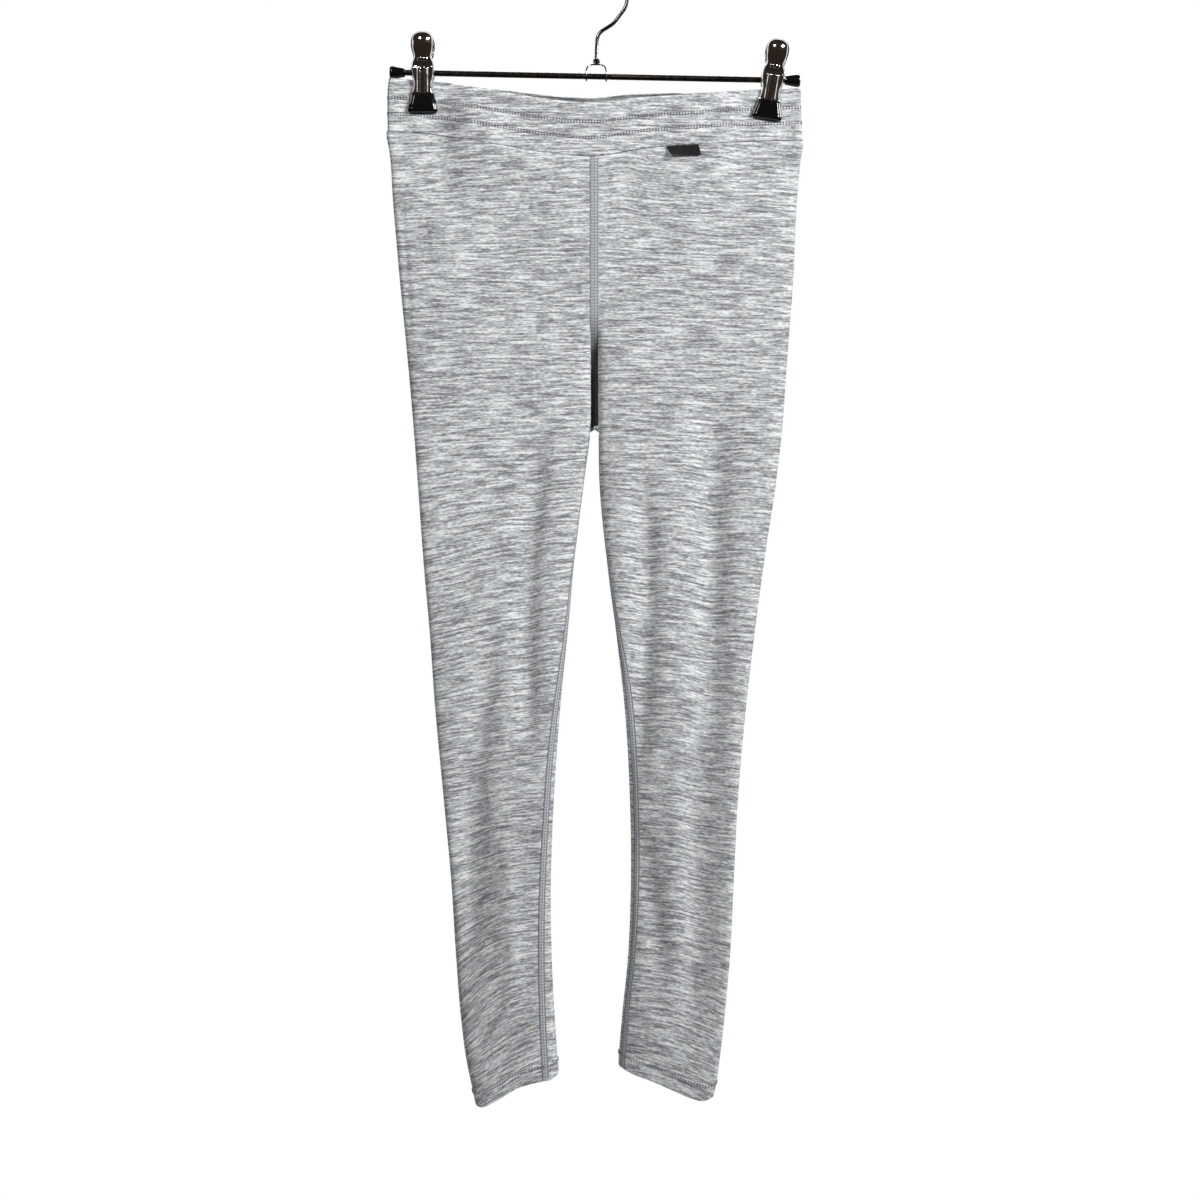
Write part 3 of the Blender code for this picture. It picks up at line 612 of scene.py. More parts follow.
def run_lengths(points):
    """Running length along a line of points."""
    return np.concatenate([[0], np.cumsum(np.linalg.norm(np.diff(points, axis=0), axis=1))])


def read_line(line, length, places):
    """What a line holds at given lengths along it."""
    return np.stack([np.interp(places, length, values) for values in line.T], axis=-1)


class Leg:
    """One cut panel: hip and leg in one, closed along the rise seams and the inseam.

    A line over the cloth has five columns: x, y, z, then the place in the knit, along and across
    its courses, all in mm.
    """

    def __init__(self, side, edges, hem, inseam_column):
        self.side = side
        self.edges = edges
        self.hem = hem
        self.inseam_column = inseam_column
        top = float(column(WAIST_SEAM, 1, CENTRE_X))
        bottom = hem[0][1]
        self.length = bottom - top
        self.crotch = (CROTCH_DROP - top) / self.length
        self.band = HEM_HEIGHT / self.length

    def drop(self, share_down, across, face):
        """Drop of a point, by its share of the way down the panel and across from the inside."""
        top_side = column(self.edges, 1, LEG_TOP_DROP)
        top_x = CENTRE_X + (top_side - CENTRE_X) * across
        top = column(WAIST_SEAM, 1, top_x) + waist_gap(top_x) / 2
        top = top - back_lift(across, face) * np.clip(1 - share_down / self.crotch, 0, 1) ** 2
        return top + (column(self.hem, 1, across) - top) * share_down

    def hem_raise(self, shares):
        """1 on the turned hem, 0 over it."""
        return ease(shares, 1 - self.band * 1.05, 1 - self.band * 0.9)

    def course(self, face, x, across, drop):
        """Place across the courses of the knit, which fall towards the side and dip in folds."""
        fall = column(COURSES, 2 if self.side > 0 else 1, drop)
        power = column(COURSES, 3, drop)
        dip = fold_shift(self.side, face, x, drop)
        hump = ARCH_RISE * np.exp(-(((x - ARCH_X) / ARCH_HALF) ** 2)) * (1 - ease(drop, *ARCH_DROPS))
        return drop - fall * across**power - COURSE_DIP * dip + hump * (face < 0)

    def face_line(self, share_down, face, samples=LINE_SAMPLES):
        """Dense line over one face of a ring, from the inside to the side edge."""
        is_open = share_down < self.crotch
        side_x = column(self.edges, 1, self.drop(share_down, 1.0, -1))
        inner_drop = self.drop(share_down, 0.0, -1)
        inner_x = column(self.edges, 2, inner_drop)
        start_x = CENTRE_X + self.side * SEAM_GAP / 2 if is_open else inner_x
        turn = np.linspace(0, math.pi, samples)
        even = np.linspace(0, 1, samples)
        across = 0.6 * (1 - np.cos(turn)) / 2 + 0.4 * even
        x = start_x + (side_x - start_x) * across
        drop = self.drop(share_down, across, face)
        middle = (inner_x + side_x) / 2
        share = (x - middle) / (side_x - middle)
        full = column(FULLNESS, 1 if face < 0 else 2, drop)
        outside = column(FULLNESS, 3 if self.side < 0 else 4, drop) * (1 if face < 0 else BACK_ROUNDNESS)
        power = np.where(share > 0, outside, column(FULLNESS, 5, drop))
        depth = full * dome(share, power)
        if is_open:
            keep = column(RISE_SEAM, 1 if face < 0 else 2, drop)
            flat = open_depth(face, x, side_x, drop)
            floor = flat * keep
            upper = ease(drop, HIP_END_DROP, LEG_START_DROP)
            closed = np.where(share < -1, 0.0, depth)
            gap = floor - closed
            joined = closed + (gap + np.sqrt(gap * gap + GROOVE_SOFTNESS**2)) / 2
            window = 1 - ease(across, *GROOVE_WINDOW)
            joined = closed + (joined - closed) * window
            depth = flat + (joined - flat) * upper
            if share_down > self.crotch * CROTCH_SEAM_FROM:
                depth = np.maximum(depth, CROTCH_SEAM_DEPTH * dome(across, 6.0))
        sink = fold_shift(self.side, face, x, drop)
        depth = depth - sink * ease(depth, *FOLD_ROOM)
        sway = column(self.edges, 3, drop) - column(self.edges, 4, drop) * (x - middle)
        y = sway + face * depth
        course = self.course(face, x, across, drop)
        return np.stack([x, y, -drop, x, course], axis=-1)

    def ring_line(self, share_down):
        """Dense line round a ring, its running length, and the lengths at the side and the back."""
        front = self.face_line(share_down, -1)
        back = self.face_line(share_down, 1)[::-1]
        line = np.concatenate([front, back[1:]])
        if share_down >= self.crotch:
            line = np.concatenate([line, front[1 : len(front) // 3]])
        length = run_lengths(line[:, :3])
        side_at = length[len(front) - 1]
        whole = length[len(front) + len(back) - 2]
        line[:, 3] = length - side_at
        return line, length, side_at, whole

    def ring(self, share_down, front_count, back_count):
        """Eased points of one ring, from the front seam round the side to the back seam."""
        line, length, side_at, whole = self.ring_line(share_down)
        start, end = 0.0, length[-1]
        if share_down >= self.crotch:
            offset = self.seam_offset(share_down)
            start, end = offset + SEAM_GAP / 2, whole + offset - SEAM_GAP / 2
        front = eased_steps(start, side_at, front_count)
        back = eased_steps(side_at, end, back_count)
        return read_line(line, length, np.concatenate([front, back[1:]]))

    def seam_offset(self, share_down):
        """How far along the cloth the inseam lies from the inner edge, towards the front."""
        front = self.face_line(share_down, -1)
        drop = self.drop(share_down, 0.0, -1)
        inside = np.abs(front[:, 0] - front[0, 0])
        offset = np.interp(column(INSEAM, self.inseam_column, drop), inside, run_lengths(front[:, :3]))
        return float(offset * ease(drop, CROTCH_DROP, INSEAM_TURNED))

    def inseam_row(self, share_down, across):
        """Points over the inseam, at distances across from its middle, positive to the front."""
        line, length, side_at, whole = self.ring_line(share_down)
        return read_line(line, length, whole + self.seam_offset(share_down) + across)

    def rise_row(self, share_down, face, across):
        """Points beside a rise seam, at distances from it along the cloth."""
        line = self.face_line(share_down, face)
        return read_line(line, run_lengths(line[:, :3]), across)

    def rings(self, shares, front_count, back_count):
        return np.array([self.ring(s, front_count, back_count) for s in shares])


def eased_steps(low, high, count):
    """Steps that are shorter near both ends."""
    even = np.linspace(0, 1, count + 1)
    share = 0.6 * even + 0.4 * (1 - np.cos(math.pi * even)) / 2
    return low + (high - low) * share


def unit(vectors):
    return vectors / np.maximum(np.linalg.norm(vectors, axis=-1, keepdims=True), 1e-9)


def grid_normals(points, wrap):
    """Normals of a grid of rows, each row running round the cloth."""
    down = np.gradient(points, axis=0)
    if wrap:
        around = np.roll(points, -1, axis=1) - np.roll(points, 1, axis=1)
    else:
        around = np.gradient(points, axis=1)
    normal = np.cross(around, down)
    normal[[0, -1], :, 2] = 0.0
    return unit(normal)


# Building meshes


def make_object(name, points, faces, weave=None):
    """Object from points in mm and faces; weave is the place in the knit of each point."""
    data = bpy.data.meshes.new(name)
    data.from_pydata((np.asarray(points) * MM).tolist(), [], faces)
    data.update()
    if weave is not None:
        layer = data.uv_layers.new(name="Weave")
        corner = np.empty(len(data.loops), dtype=np.int32)
        data.loops.foreach_get("vertex_index", corner)
        layer.data.foreach_set("uv", np.asarray(weave, dtype=np.float32)[corner].ravel())
    data.shade_smooth()
    made = bpy.data.objects.new(name, data)
    bpy.context.collection.objects.link(made)
    return made


def grid_faces(rows, cols, wrap_rows, wrap_cols, first=0):
    """Quads over a grid of points numbered row by row."""
    i = np.arange(rows if wrap_rows else rows - 1)
    j = np.arange(cols if wrap_cols else cols - 1)
    i, j = np.meshgrid(i, j, indexing="ij")
    down = (i + 1) % rows
    right = (j + 1) % cols
    quads = np.stack([i * cols + j, down * cols + j, down * cols + right, i * cols + right], axis=-1)
    return (quads.reshape(-1, 4) + first).tolist()


def shell_loop(outer, normal, depth, away, weave):
    """Rows all the way round a wall, over rounded rims, and their places in the knit.

    The wall lies depth under the outer points, and its rims bulge along the two directions away.
    """
    turn = np.linspace(0, math.pi, RIM_STEPS + 2)[1:-1]
    rims = []
    for row, ahead, angles in ((0, away[0], turn[::-1]), (-1, away[1], turn)):
        half = depth[row] / 2
        middle = outer[row] - normal[row] * half
        rim = [middle + half * (np.cos(a) * normal[row] + np.sin(a) * ahead) for a in angles]
        rims.append(np.array(rim))
    inner = outer - normal * depth
    loop = np.concatenate([outer, rims[1], inner[::-1], rims[0]])
    ends = [np.repeat(weave[[row]], RIM_STEPS, axis=0) for row in (-1, 0)]
    return loop, np.concatenate([weave, ends[0], weave[::-1], ends[1]])


def cloth_wall(name, outer, normal, thick, weave):
    """Closed thin shell with rounded rims under a grid of outer points, in mm."""
    rows, cols = outer.shape[:2]
    depth = np.broadcast_to(thick, (rows, 1))[:, :, None]
    away = unit(outer[0] - outer[1]), unit(outer[-1] - outer[-2])
    loop, knit = shell_loop(outer, normal, depth, away, weave)
    total = len(loop)
    faces = grid_faces(total, cols, True, False)
    for j in (0, cols - 1):
        side = []
        for i in range(rows - 1):
            k = 2 * rows + RIM_STEPS - 1 - i
            side.append([i * cols + j, (i + 1) * cols + j, (k - 1) * cols + j, k * cols + j])
        side.append([i * cols + j for i in range(rows - 1, rows + RIM_STEPS + 1)])
        side.append([i * cols + j for i in list(range(total - RIM_STEPS - 1, total)) + [0]])
        faces += [face if j == 0 else face[::-1] for face in side]
    return closed_body(name, loop.reshape(-1, 3), faces, knit.reshape(-1, 2))


def mark_reverse(made, rows, across):
    """Gives the inner grid of a shell the second material slot."""
    slots = np.zeros(len(made.data.polygons), dtype=np.int32)
    first = (rows + RIM_STEPS) * across
    slots[first : first + (rows - 1) * across] = 1
    made.data.polygons.foreach_set("material_index", slots)


def closed_body(name, points, faces, weave=None):
    """Object whose faces all look outwards."""
    made = make_object(name, points, faces, weave)
    builder = bmesh.new()
    builder.from_mesh(made.data)
    bmesh.ops.recalc_face_normals(builder, faces=builder.faces)
    builder.to_mesh(made.data)
    builder.free()
    return made


def tube(name, path, radii, sides=16):
    """Round wire along a path, in mm, with rounded ends."""
    path = np.array(path, dtype=float)
    radii = np.broadcast_to(radii, len(path)).astype(float)
    tangent = unit(np.gradient(path, axis=0))
    across = unit(np.cross(tangent[0], (0.013, 1.0, 0.02)))
    turn = np.linspace(0, 2 * math.pi, sides, endpoint=False)[:, None]
    rings = []
    for point, along, size in zip(path, tangent, radii):
        across = unit(across - along * np.dot(across, along))
        other = np.cross(along, across)
        rings.append(point + size * (np.cos(turn) * across + np.sin(turn) * other))
    lengths = run_lengths(path)
    around = np.linspace(0, 1, sides, endpoint=False) * 10
    weave = [(a, length) for length in lengths for a in around] + [(0, 0), (0, lengths[-1])]
    points = np.concatenate([np.array(rings).reshape(-1, 3), path[[0]], path[[-1]]])
    count = len(rings)
    faces = grid_faces(count, sides, False, True)
    last = (count - 1) * sides
    for k in range(sides):
        n = (k + 1) % sides
        faces.append([count * sides, n, k])
        faces.append([count * sides + 1, last + k, last + n])
    return closed_body(name, points, faces, weave)


def rounded_ends(path, radius, steps=3):
    """Path and radii whose ends close in a half ball."""
    path = np.array(path, dtype=float)
    start = unit(path[1] - path[0])
    end = unit(path[-1] - path[-2])
    turn = np.linspace(0, math.pi / 2, steps + 1)
    head = [path[0] + start * radius * (1 - np.sin(a)) for a in turn]
    tail = [path[-1] - end * radius * (1 - np.sin(a)) for a in turn[::-1]]
    ball = [max(radius * math.cos(math.pi / 2 - a), 0.04 * radius) for a in turn]
    inside = [p for p in path[1:-1]]
    full = head + inside + tail
    radii = ball + [radius] * len(inside) + ball[::-1]
    return np.array(full), np.array(radii)


def turned(name, profile, sides, place, closed=False):
    """Body turned about its own X axis from (x, radius) pairs in mm."""
    profile = np.array(profile, dtype=float)
    turn = np.linspace(0, 2 * math.pi, sides, endpoint=False)
    points = []
    weave = []
    for x, radius in profile:
        for a in turn:
            spot = place @ (Vector((x, radius * math.cos(a), radius * math.sin(a))) * MM)
            points.append(spot / MM)
            weave.append((a * 3, x))
    rows = len(profile)
    faces = grid_faces(rows, sides, closed, True)
    if not closed:
        faces.append(list(range(sides))[::-1])
        faces.append([(rows - 1) * sides + k for k in range(sides)])
    return closed_body(name, points, faces, weave)


def smooth_path(points, steps):
    """Curve through the given points."""
    table = np.column_stack([np.arange(len(points), dtype=float), points])
    fine = np.linspace(0, len(points) - 1, steps)
    return np.stack([column(table, k, fine) for k in (1, 2, 3)], axis=-1)


def even_line(points, extra, step):
    """A line and what goes with its points, read again at even steps along it."""
    lengths = run_lengths(points)
    at = np.arange(step / 2, lengths[-1], step)
    return read_line(points, lengths, at), unit(read_line(extra, lengths, at))


def stitches(name, rows):
    """Rows of short thread stitches; each row is (points, outward normals)."""
    points = []
    faces = []
    turn = np.linspace(0, 2 * math.pi, STITCH_SIDES, endpoint=False)
    for line, normal in rows:
        centre, out = even_line(line, normal, STITCH_PITCH)
        along = unit(np.gradient(centre, axis=0))
        beside = unit(np.cross(along, out))
        for spot, ahead, outward, across in zip(centre, along, out, beside):
            first = len(points)
            for share, size, rise in STITCH_ROWS:
                middle = spot + ahead * share * STITCH_PITCH * STITCH_FILL
                middle = middle + outward * STITCH_RADIUS * (rise + STITCH_LIFT)
                for a in turn:
                    thick = math.cos(a) * across * STITCH_WIDE + math.sin(a) * outward * STITCH_FLAT
                    points.append(middle + STITCH_RADIUS * size * thick)
            faces.extend(grid_faces(len(STITCH_ROWS), STITCH_SIDES, False, True, first))
            last = first + (len(STITCH_ROWS) - 1) * STITCH_SIDES
            faces.append([first + k for k in range(STITCH_SIDES)][::-1])
            faces.append([last + k for k in range(STITCH_SIDES)])
    return closed_body(name, points, faces)


def flatlock(name, points, across, normal, ridge, material):
    """Raised band of looped thread that joins two cut edges."""
    outer = points + normal * (FLATLOCK_LIFT + FLATLOCK_THICK + ridge)
    weave = np.stack(np.broadcast_arrays(across[None, :], -points[..., 2]), axis=-1)
    made = cloth_wall(name, outer, normal, FLATLOCK_THICK, weave)
    return dress(made, material, "grey_knit")

# Materials


class NodeTree:
    """Nodes of a material or of the world, added step by step."""

    def __init__(self, tree):
        self.nodes = tree.nodes
        self.links = tree.links

    def add(self, kind, **settings):
        node = self.nodes.new(kind)
        for key, value in settings.items():
            setattr(node, key, value)
        return node

    def feed(self, sockets, values):
        """Sets sockets to numbers and colours, and links them to the outputs of nodes."""
        for socket, value in zip(sockets, values):
            if isinstance(value, (int, float)):
                socket.default_value = value
            elif isinstance(value, tuple):
                socket.default_value = (*value, 1.0)
            else:
                self.links.new(value, socket)

    def math(self, operation, *values):
        node = self.add("ShaderNodeMath", operation=operation)
        self.feed(node.inputs, values)
        return node.outputs[0]

    def times(self, first, second):
        return self.math("MULTIPLY", first, second)

    def plus(self, first, second):
        return self.math("ADD", first, second)

    def wave(self, operation, length, pitch):
        """Sine or cosine that comes round once in a pitch."""
        return self.math(operation, self.times(length, 2 * math.pi / pitch))

    def weighed(self, parts):
        """Sum of noises about their middle, each with its weight, about one half."""
        total = 0.5 - 0.5 * sum(weight for _, weight in parts)
        for noise, weight in parts:
            total = self.math("MULTIPLY_ADD", noise, weight, total)
        return total

    def weave(self):
        """Place in the knit, in mm, as two values and as a vector."""
        node = self.add("ShaderNodeUVMap", uv_map="Weave")
        split = self.add("ShaderNodeSeparateXYZ")
        self.links.new(node.outputs[0], split.inputs[0])
        return split.outputs[0], split.outputs[1], node.outputs[0]

    def stretched_noise(self, vector, along, across, detail, shift=0.0):
        """Noise whose flecks are along and across mm in size."""
        mapping = self.add("ShaderNodeMapping")
        mapping.inputs["Scale"].default_value = (1 / along, 1 / across, 1.0)
        mapping.inputs["Location"].default_value = (shift, shift * 0.37, 0.0)
        self.links.new(vector, mapping.inputs["Vector"])
        return self.noise(mapping.outputs[0], 1.0, detail, "2D")

    def noise(self, vector, scale, detail, dimensions="3D"):
        noise = self.add("ShaderNodeTexNoise", noise_dimensions=dimensions)
        sockets = [noise.inputs[name] for name in ("Vector", "Scale", "Detail")]
        self.feed(sockets, (vector, scale, detail))
        return noise.outputs[0]

    def object_noise(self, scale, detail):
        return self.noise(self.add("ShaderNodeTexCoord").outputs["Object"], scale, detail)

    def ramp(self, value, stops):
        node = self.add("ShaderNodeValToRGB")
        elements = node.color_ramp.elements
        while len(elements) < len(stops):
            elements.new(0.5)
        for element, (place, colour) in zip(elements, stops):
            element.position = place
            element.color = (*colour, 1.0)
        self.links.new(value, node.inputs[0])
        return node.outputs[0]

    def mix(self, amount, first, second, blend="MIX"):
        node = self.add("ShaderNodeMix", data_type="RGBA", blend_type=blend)
        self.feed([node.inputs[k] for k in (0, 6, 7)], (amount, first, second))
        return node.outputs[2]


class Look(NodeTree):
    """A Principled material."""

    def __init__(self, name, colour, roughness, metallic=0.0):
        self.material = bpy.data.materials.new(name)
        self.material.use_nodes = True
        super().__init__(self.material.node_tree)
        self.shader = self.nodes["Principled BSDF"]
        self.set("Base Color", (*colour, 1.0))
        self.set("Roughness", roughness)
        self.set("Metallic", metallic)
        self.material.diffuse_color = (*colour, 1.0)

    def set(self, socket, value):
        self.shader.inputs[socket].default_value = value

    def link(self, source, socket):
        self.links.new(source, self.shader.inputs[socket])

    def shade(self, noise, dark, light, high=0.7):
        """Base colour between two tones."""
        self.link(self.ramp(noise, ((0.3, dark), (high, light))), "Base Color")

    def roughen(self, noise, least, more):
        self.link(self.math("MULTIPLY_ADD", noise, more, least), "Roughness")

    def bump(self, height, distance, strength):
        node = self.add("ShaderNodeBump")
        sockets = [node.inputs[name] for name in ("Height", "Distance", "Strength")]
        self.feed(sockets, (height, distance, strength))
        self.link(node.outputs[0], "Normal")


def melange_look(name, shift, painted_tone_scale=1.0):
    """Grey melange single knit: pale and dark flecks drawn out along the courses."""
    look = Look(name, (0.52, 0.53, 0.56), 0.92)
    look.set("Sheen Weight", 0.12)
    look.set("Sheen Roughness", 0.5)
    look.set("Specular IOR Level", 0.2)
    u, v, place = look.weave()
    parts = [
        (look.stretched_noise(place, along, across, 1.0, shift + offset), weight)
        for along, across, offset, weight in MELANGE_NOISES
    ]
    # Tones scaled by a factor: below 1 it paints shade, as on the reverse side, and above 1 it paints
    # light, as on the band
    tones = [(at, [part * painted_tone_scale for part in colour]) for at, colour in MELANGE_TONES]
    tint = look.ramp(look.stretched_noise(place, 13.0, 4.5, 2.0, shift + 71.0), MELANGE_TINTS)
    look.link(look.mix(1.0, look.ramp(look.weighed(parts), tones), tint, "MULTIPLY"), "Base Color")
    wale = look.math("PINGPONG", u, 0.42)
    slant = look.plus(look.times(v, 1.55), look.times(wale, 1.1))
    loops = look.times(look.wave("SINE", slant, 1.0), 0.35)
    long_streaks = look.times(parts[0][0], 1.2)
    look.bump(look.plus(look.plus(long_streaks, loops), wale), 0.00022, 0.6)
    return look.material


def flatlock_look(name, shade_line_from, painted_shade_from=None):
    """Looped cover thread: three columns of needle holes on pale thread, its edges painted darker beyond a
    given distance from its middle: painted shade lines along the seam's edges.

    Below a given drop its colour fades to near black: painted shade where it runs down into the gap between
    the legs.
    """
    look = Look(name, (0.44, 0.45, 0.465), 0.85)
    look.set("Sheen Weight", 0.1)
    u, v, place = look.weave()
    ribs = look.wave("SINE", v, HOLE_PITCH)
    columns = look.wave("COSINE", u, HOLE_COLUMNS)
    holes = look.times(look.math("GREATER_THAN", ribs, 0.0), look.math("GREATER_THAN", columns, 0.2))
    # Painted shade: beyond a given distance from the middle the thread is painted darker, standing in for
    # the shadow lines along the seam's edges
    edge = look.math("GREATER_THAN", look.math("ABSOLUTE", u), shade_line_from)
    marks = look.math("MAXIMUM", look.times(holes, 0.9), look.times(edge, 0.45))
    fine = look.stretched_noise(place, 0.9, 1.8, 2.0)
    stops = ((0.2, (0.35, 0.367, 0.395)), (0.5, (0.43, 0.449, 0.482)), (0.8, (0.54, 0.56, 0.59)))
    tone = look.mix(marks, look.ramp(fine, stops), (0.11, 0.115, 0.128))
    # Painted shade: below a given drop the colour fades to near black, standing in for the shadow deep in
    # the gap between the legs
    if painted_shade_from:
        depth = look.math("DIVIDE", look.math("SUBTRACT", v, painted_shade_from), PAINTED_SHADE_FADE)
        depth = look.math("MINIMUM", look.math("MAXIMUM", depth, 0.0), 0.93)
        tone = look.mix(depth, tone, (0.012, 0.009, 0.007))
    look.link(tone, "Base Color")
    look.bump(look.math("SUBTRACT", look.times(ribs, 0.4), look.times(holes, 0.6)), 0.00025, 0.8)
    return look.material


def thread_look(name, colour):
    look = Look(name, colour, 0.8)
    look.set("Sheen Weight", 0.15)
    twist = look.object_noise(2600.0, 2.0)
    look.shade(twist, [c * 0.72 for c in colour], [c * 1.25 for c in colour])
    look.bump(twist, 0.0001, 0.6)
    return look.material


def tape_look():
    """Black woven tape, bare."""
    look = Look("label_weave", (0.008, 0.008, 0.011), 0.62)
    look.set("Sheen Weight", 0.03)
    look.set("Specular IOR Level", 0.25)
    u, v, place = look.weave()
    cloth = look.times(look.wave("SINE", u, 0.42), look.wave("SINE", v, 0.36))
    fleck = look.stretched_noise(place, 2.2, 0.35, 2.0)
    look.shade(fleck, (0.003, 0.003, 0.004), (0.013, 0.012, 0.016), 0.75)
    look.bump(cloth, 0.00012, 0.7)
    return look.material


def chrome_look(name, roughness, tone):
    """Polished plate with faint rubbing marks; a tone under 1 paints it darker, a painted dark reflection.
    """
    base, worn, clean = (
        [part * tone for part in colour]
        for colour in ((0.85, 0.83, 0.80), (0.74, 0.71, 0.68), (0.90, 0.88, 0.86))
    )
    look = Look(name, base, roughness, 1.0)
    marks = look.object_noise(420.0, 4.0)
    look.shade(marks, worn, clean)
    look.roughen(marks, roughness - 0.03, 0.08)
    look.bump(look.object_noise(260.0, 2.0), 0.00002, 0.3)
    return look.material


def painted_dark_chrome_look():
    """The rod's chrome, painted dark brown: painted reflection of the dark surroundings in front."""
    look = Look("painted_dark_chrome", (0.07, 0.06, 0.052), 0.3, 1.0)
    marks = look.object_noise(300.0, 4.0)
    look.shade(marks, (0.05, 0.042, 0.037), (0.10, 0.088, 0.078))
    look.roughen(marks, 0.2, 0.2)
    return look.material


def rubber_look():
    look = Look("moulded_rubber", (0.005, 0.005, 0.006), 0.4)
    look.set("Specular IOR Level", 0.1)
    look.set("Coat Weight", 0.9)
    look.set("Coat Roughness", 0.06)
    grain = look.object_noise(1500.0, 3.0)
    look.shade(grain, (0.002, 0.002, 0.003), (0.006, 0.006, 0.008), 0.75)
    look.roughen(grain, 0.12, 0.1)
    look.bump(grain, 0.00002, 0.15)
    return look.material


def dress(made, material, slot, *nodes, shaded_reverse=None):
    """Gives a piece its material and body, and hides the CAD nodes that it stands for; the slot is not
    used.
    """
    made.data.materials.append(material)
    if shaded_reverse:
        made.data.materials.append(shaded_reverse)
    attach(made, "root")
    if nodes:
        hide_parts(*nodes)
    return made


# Cloth pieces


def leg_normals(leg, shares, points):
    normal = grid_normals(points, wrap=False) * -leg.side
    is_open = shares < leg.crotch
    normal[is_open, 0] = (0.0, -1.0, 0.0)
    normal[is_open, -1] = (0.0, 1.0, 0.0)
    seam = unit(normal[~is_open, 0] + normal[~is_open, -1])
    normal[~is_open, 0] = seam
    normal[~is_open, -1] = seam
    return normal


def leg_panel(name, leg, material, shaded_reverse):
    """The knit of one leg."""
    margin = CROTCH_HALF_GAP / LEG_LENGTH
    above_count = int(LEG_ROWS * leg.crotch)
    above = np.linspace(0, leg.crotch - margin, above_count)
    below = np.linspace(leg.crotch + margin, 1 - leg.band * 1.1, LEG_ROWS - above_count)
    shares = np.concatenate([above, below, 1 - leg.band * np.array(HEM_STEPS)])
    grid = leg.rings(shares, LEG_FRONT, LEG_BACK)
    points, weave = grid[..., :3], grid[..., 3:]
    normal = leg_normals(leg, shares, points)
    raised = leg.hem_raise(shares)[:, None]
    points = points + normal * HEM_RAISE * raised[:, None]
    thick = KNIT_WALL + (HEM_WALL - KNIT_WALL) * raised
    made = cloth_wall(name, points, normal, thick, weave)
    mark_reverse(made, len(shares), LEG_FRONT + LEG_BACK)
    return dress(made, material, "grey_knit", name.replace("_knit", ""), shaded_reverse=shaded_reverse)


def band_point(height, across, face):
    """Points of the waistband by share of its height and of the way across its front or back."""
    middle = 0.5 * (column(BAND_SIDES, 1, BAND_MIDDLE_DROP) + column(BAND_SIDES, 2, BAND_MIDDLE_DROP))
    near_x = middle + across * BAND_HALF_SPAN
    lift = back_lift(across, face)
    dip = FRONT_DIP * (1 - across**2) ** 2 * (face < 0)
    top = column(WAIST_TOP, 1, near_x) - lift + dip
    low = column(WAIST_SEAM, 1, near_x) - waist_gap(near_x) / 2 - lift
    drop = top + (low - top) * height
    left = column(BAND_SIDES, 1, drop)
    right = column(BAND_SIDES, 2, drop)
    x = (left + right) / 2 + across * (right - left) / 2
    side = np.where(x < CENTRE_X, left, right)
    return np.stack([x, face * open_depth(face, x, side, drop), -drop], axis=-1)


def band_ring(height):
    """Points round the band at a share of its height, front first."""
    across = np.linspace(-1, 1, BAND_ACROSS)
    across = 0.5 * across + 0.5 * np.sin(across * math.pi / 2)
    front = band_point(height, across, -1)
    back = band_point(height, across, 1)
    return np.concatenate([front, back[::-1][1:-1]])


def waistband(material, shaded_reverse):
    """The turned band, closed to a ring and squeezed flat under the clips."""
    heights = np.concatenate([(0.0, 0.015, 0.035), np.linspace(0.06, 0.94, 24), (0.965, 0.985, 1.0)])
    points = np.array([band_ring(height) for height in heights])
    normal = -grid_normals(points, wrap=True)
    y = points[..., 1]
    inner_y = (points - normal * BAND_WALL)[..., 1]
    crossing = ((y < -0.5) & (inner_y > -BAND_HALF_ROOM)) | ((y > 0.5) & (inner_y < BAND_HALF_ROOM))
    room = (np.abs(y) - BAND_HALF_ROOM) / np.maximum(np.abs(normal[..., 1]), 0.2)
    thick = np.where(crossing, np.clip(room, 0.3, BAND_WALL), BAND_WALL)
    around = np.cumsum(np.linalg.norm(points - np.roll(points, 1, axis=1), axis=-1), axis=1)
    weave = np.stack([around, -points[..., 2]], axis=-1)
    up = np.array((0.0, 0.0, 1.0))
    loop, knit = shell_loop(points, normal, thick[..., None], (up, -up), weave)
    faces = grid_faces(len(loop), points.shape[1], True, True)
    made = closed_body("waistband_knit", loop.reshape(-1, 3), faces, knit.reshape(-1, 2))
    mark_reverse(made, *points.shape[:2])
    return dress(made, material, "grey_knit", "waistband", shaded_reverse=shaded_reverse)


def band_stitches(material):
    """Two rows of twin needle stitches round the waistband."""
    rows = []
    for share in BAND_STITCH_SHARES:
        for shift in (-TWIN_NEEDLE / 2, TWIN_NEEDLE / 2):
            height = share + shift / BAND_HEIGHT
            rings = np.array([band_ring(height + near) for near in (-0.02, 0.0, 0.02)])
            normal = -grid_normals(rings, wrap=True)[1]
            rows.append([np.concatenate([ring, ring[:1]]) for ring in (rings[1], normal)])
    return dress(stitches("waistband_stitches", rows), material, "grey_knit")


def seam_thread(material):
    """Dark thread in the groove of the waist seam, thicker where the seam pulls open: real thread, made
    dark and thick to paint the groove's shade.
    """
    across = np.linspace(-0.97, 0.97, 240)
    for face, word in ((-1, "front"), (1, "back")):
        path = band_point(SEAM_THREAD_HEIGHT, across, face)
        # Thicker where pulled open: the dark thread paints the shade of the open groove
        radii = SEAM_THREAD_RADIUS * (1 + SEAM_THREAD_MORE * pulled_open(path[:, 0]))
        made = tube("waist_seam_shade_thread_" + word, path, radii, 8)
        dress(made, material, "grey_knit")


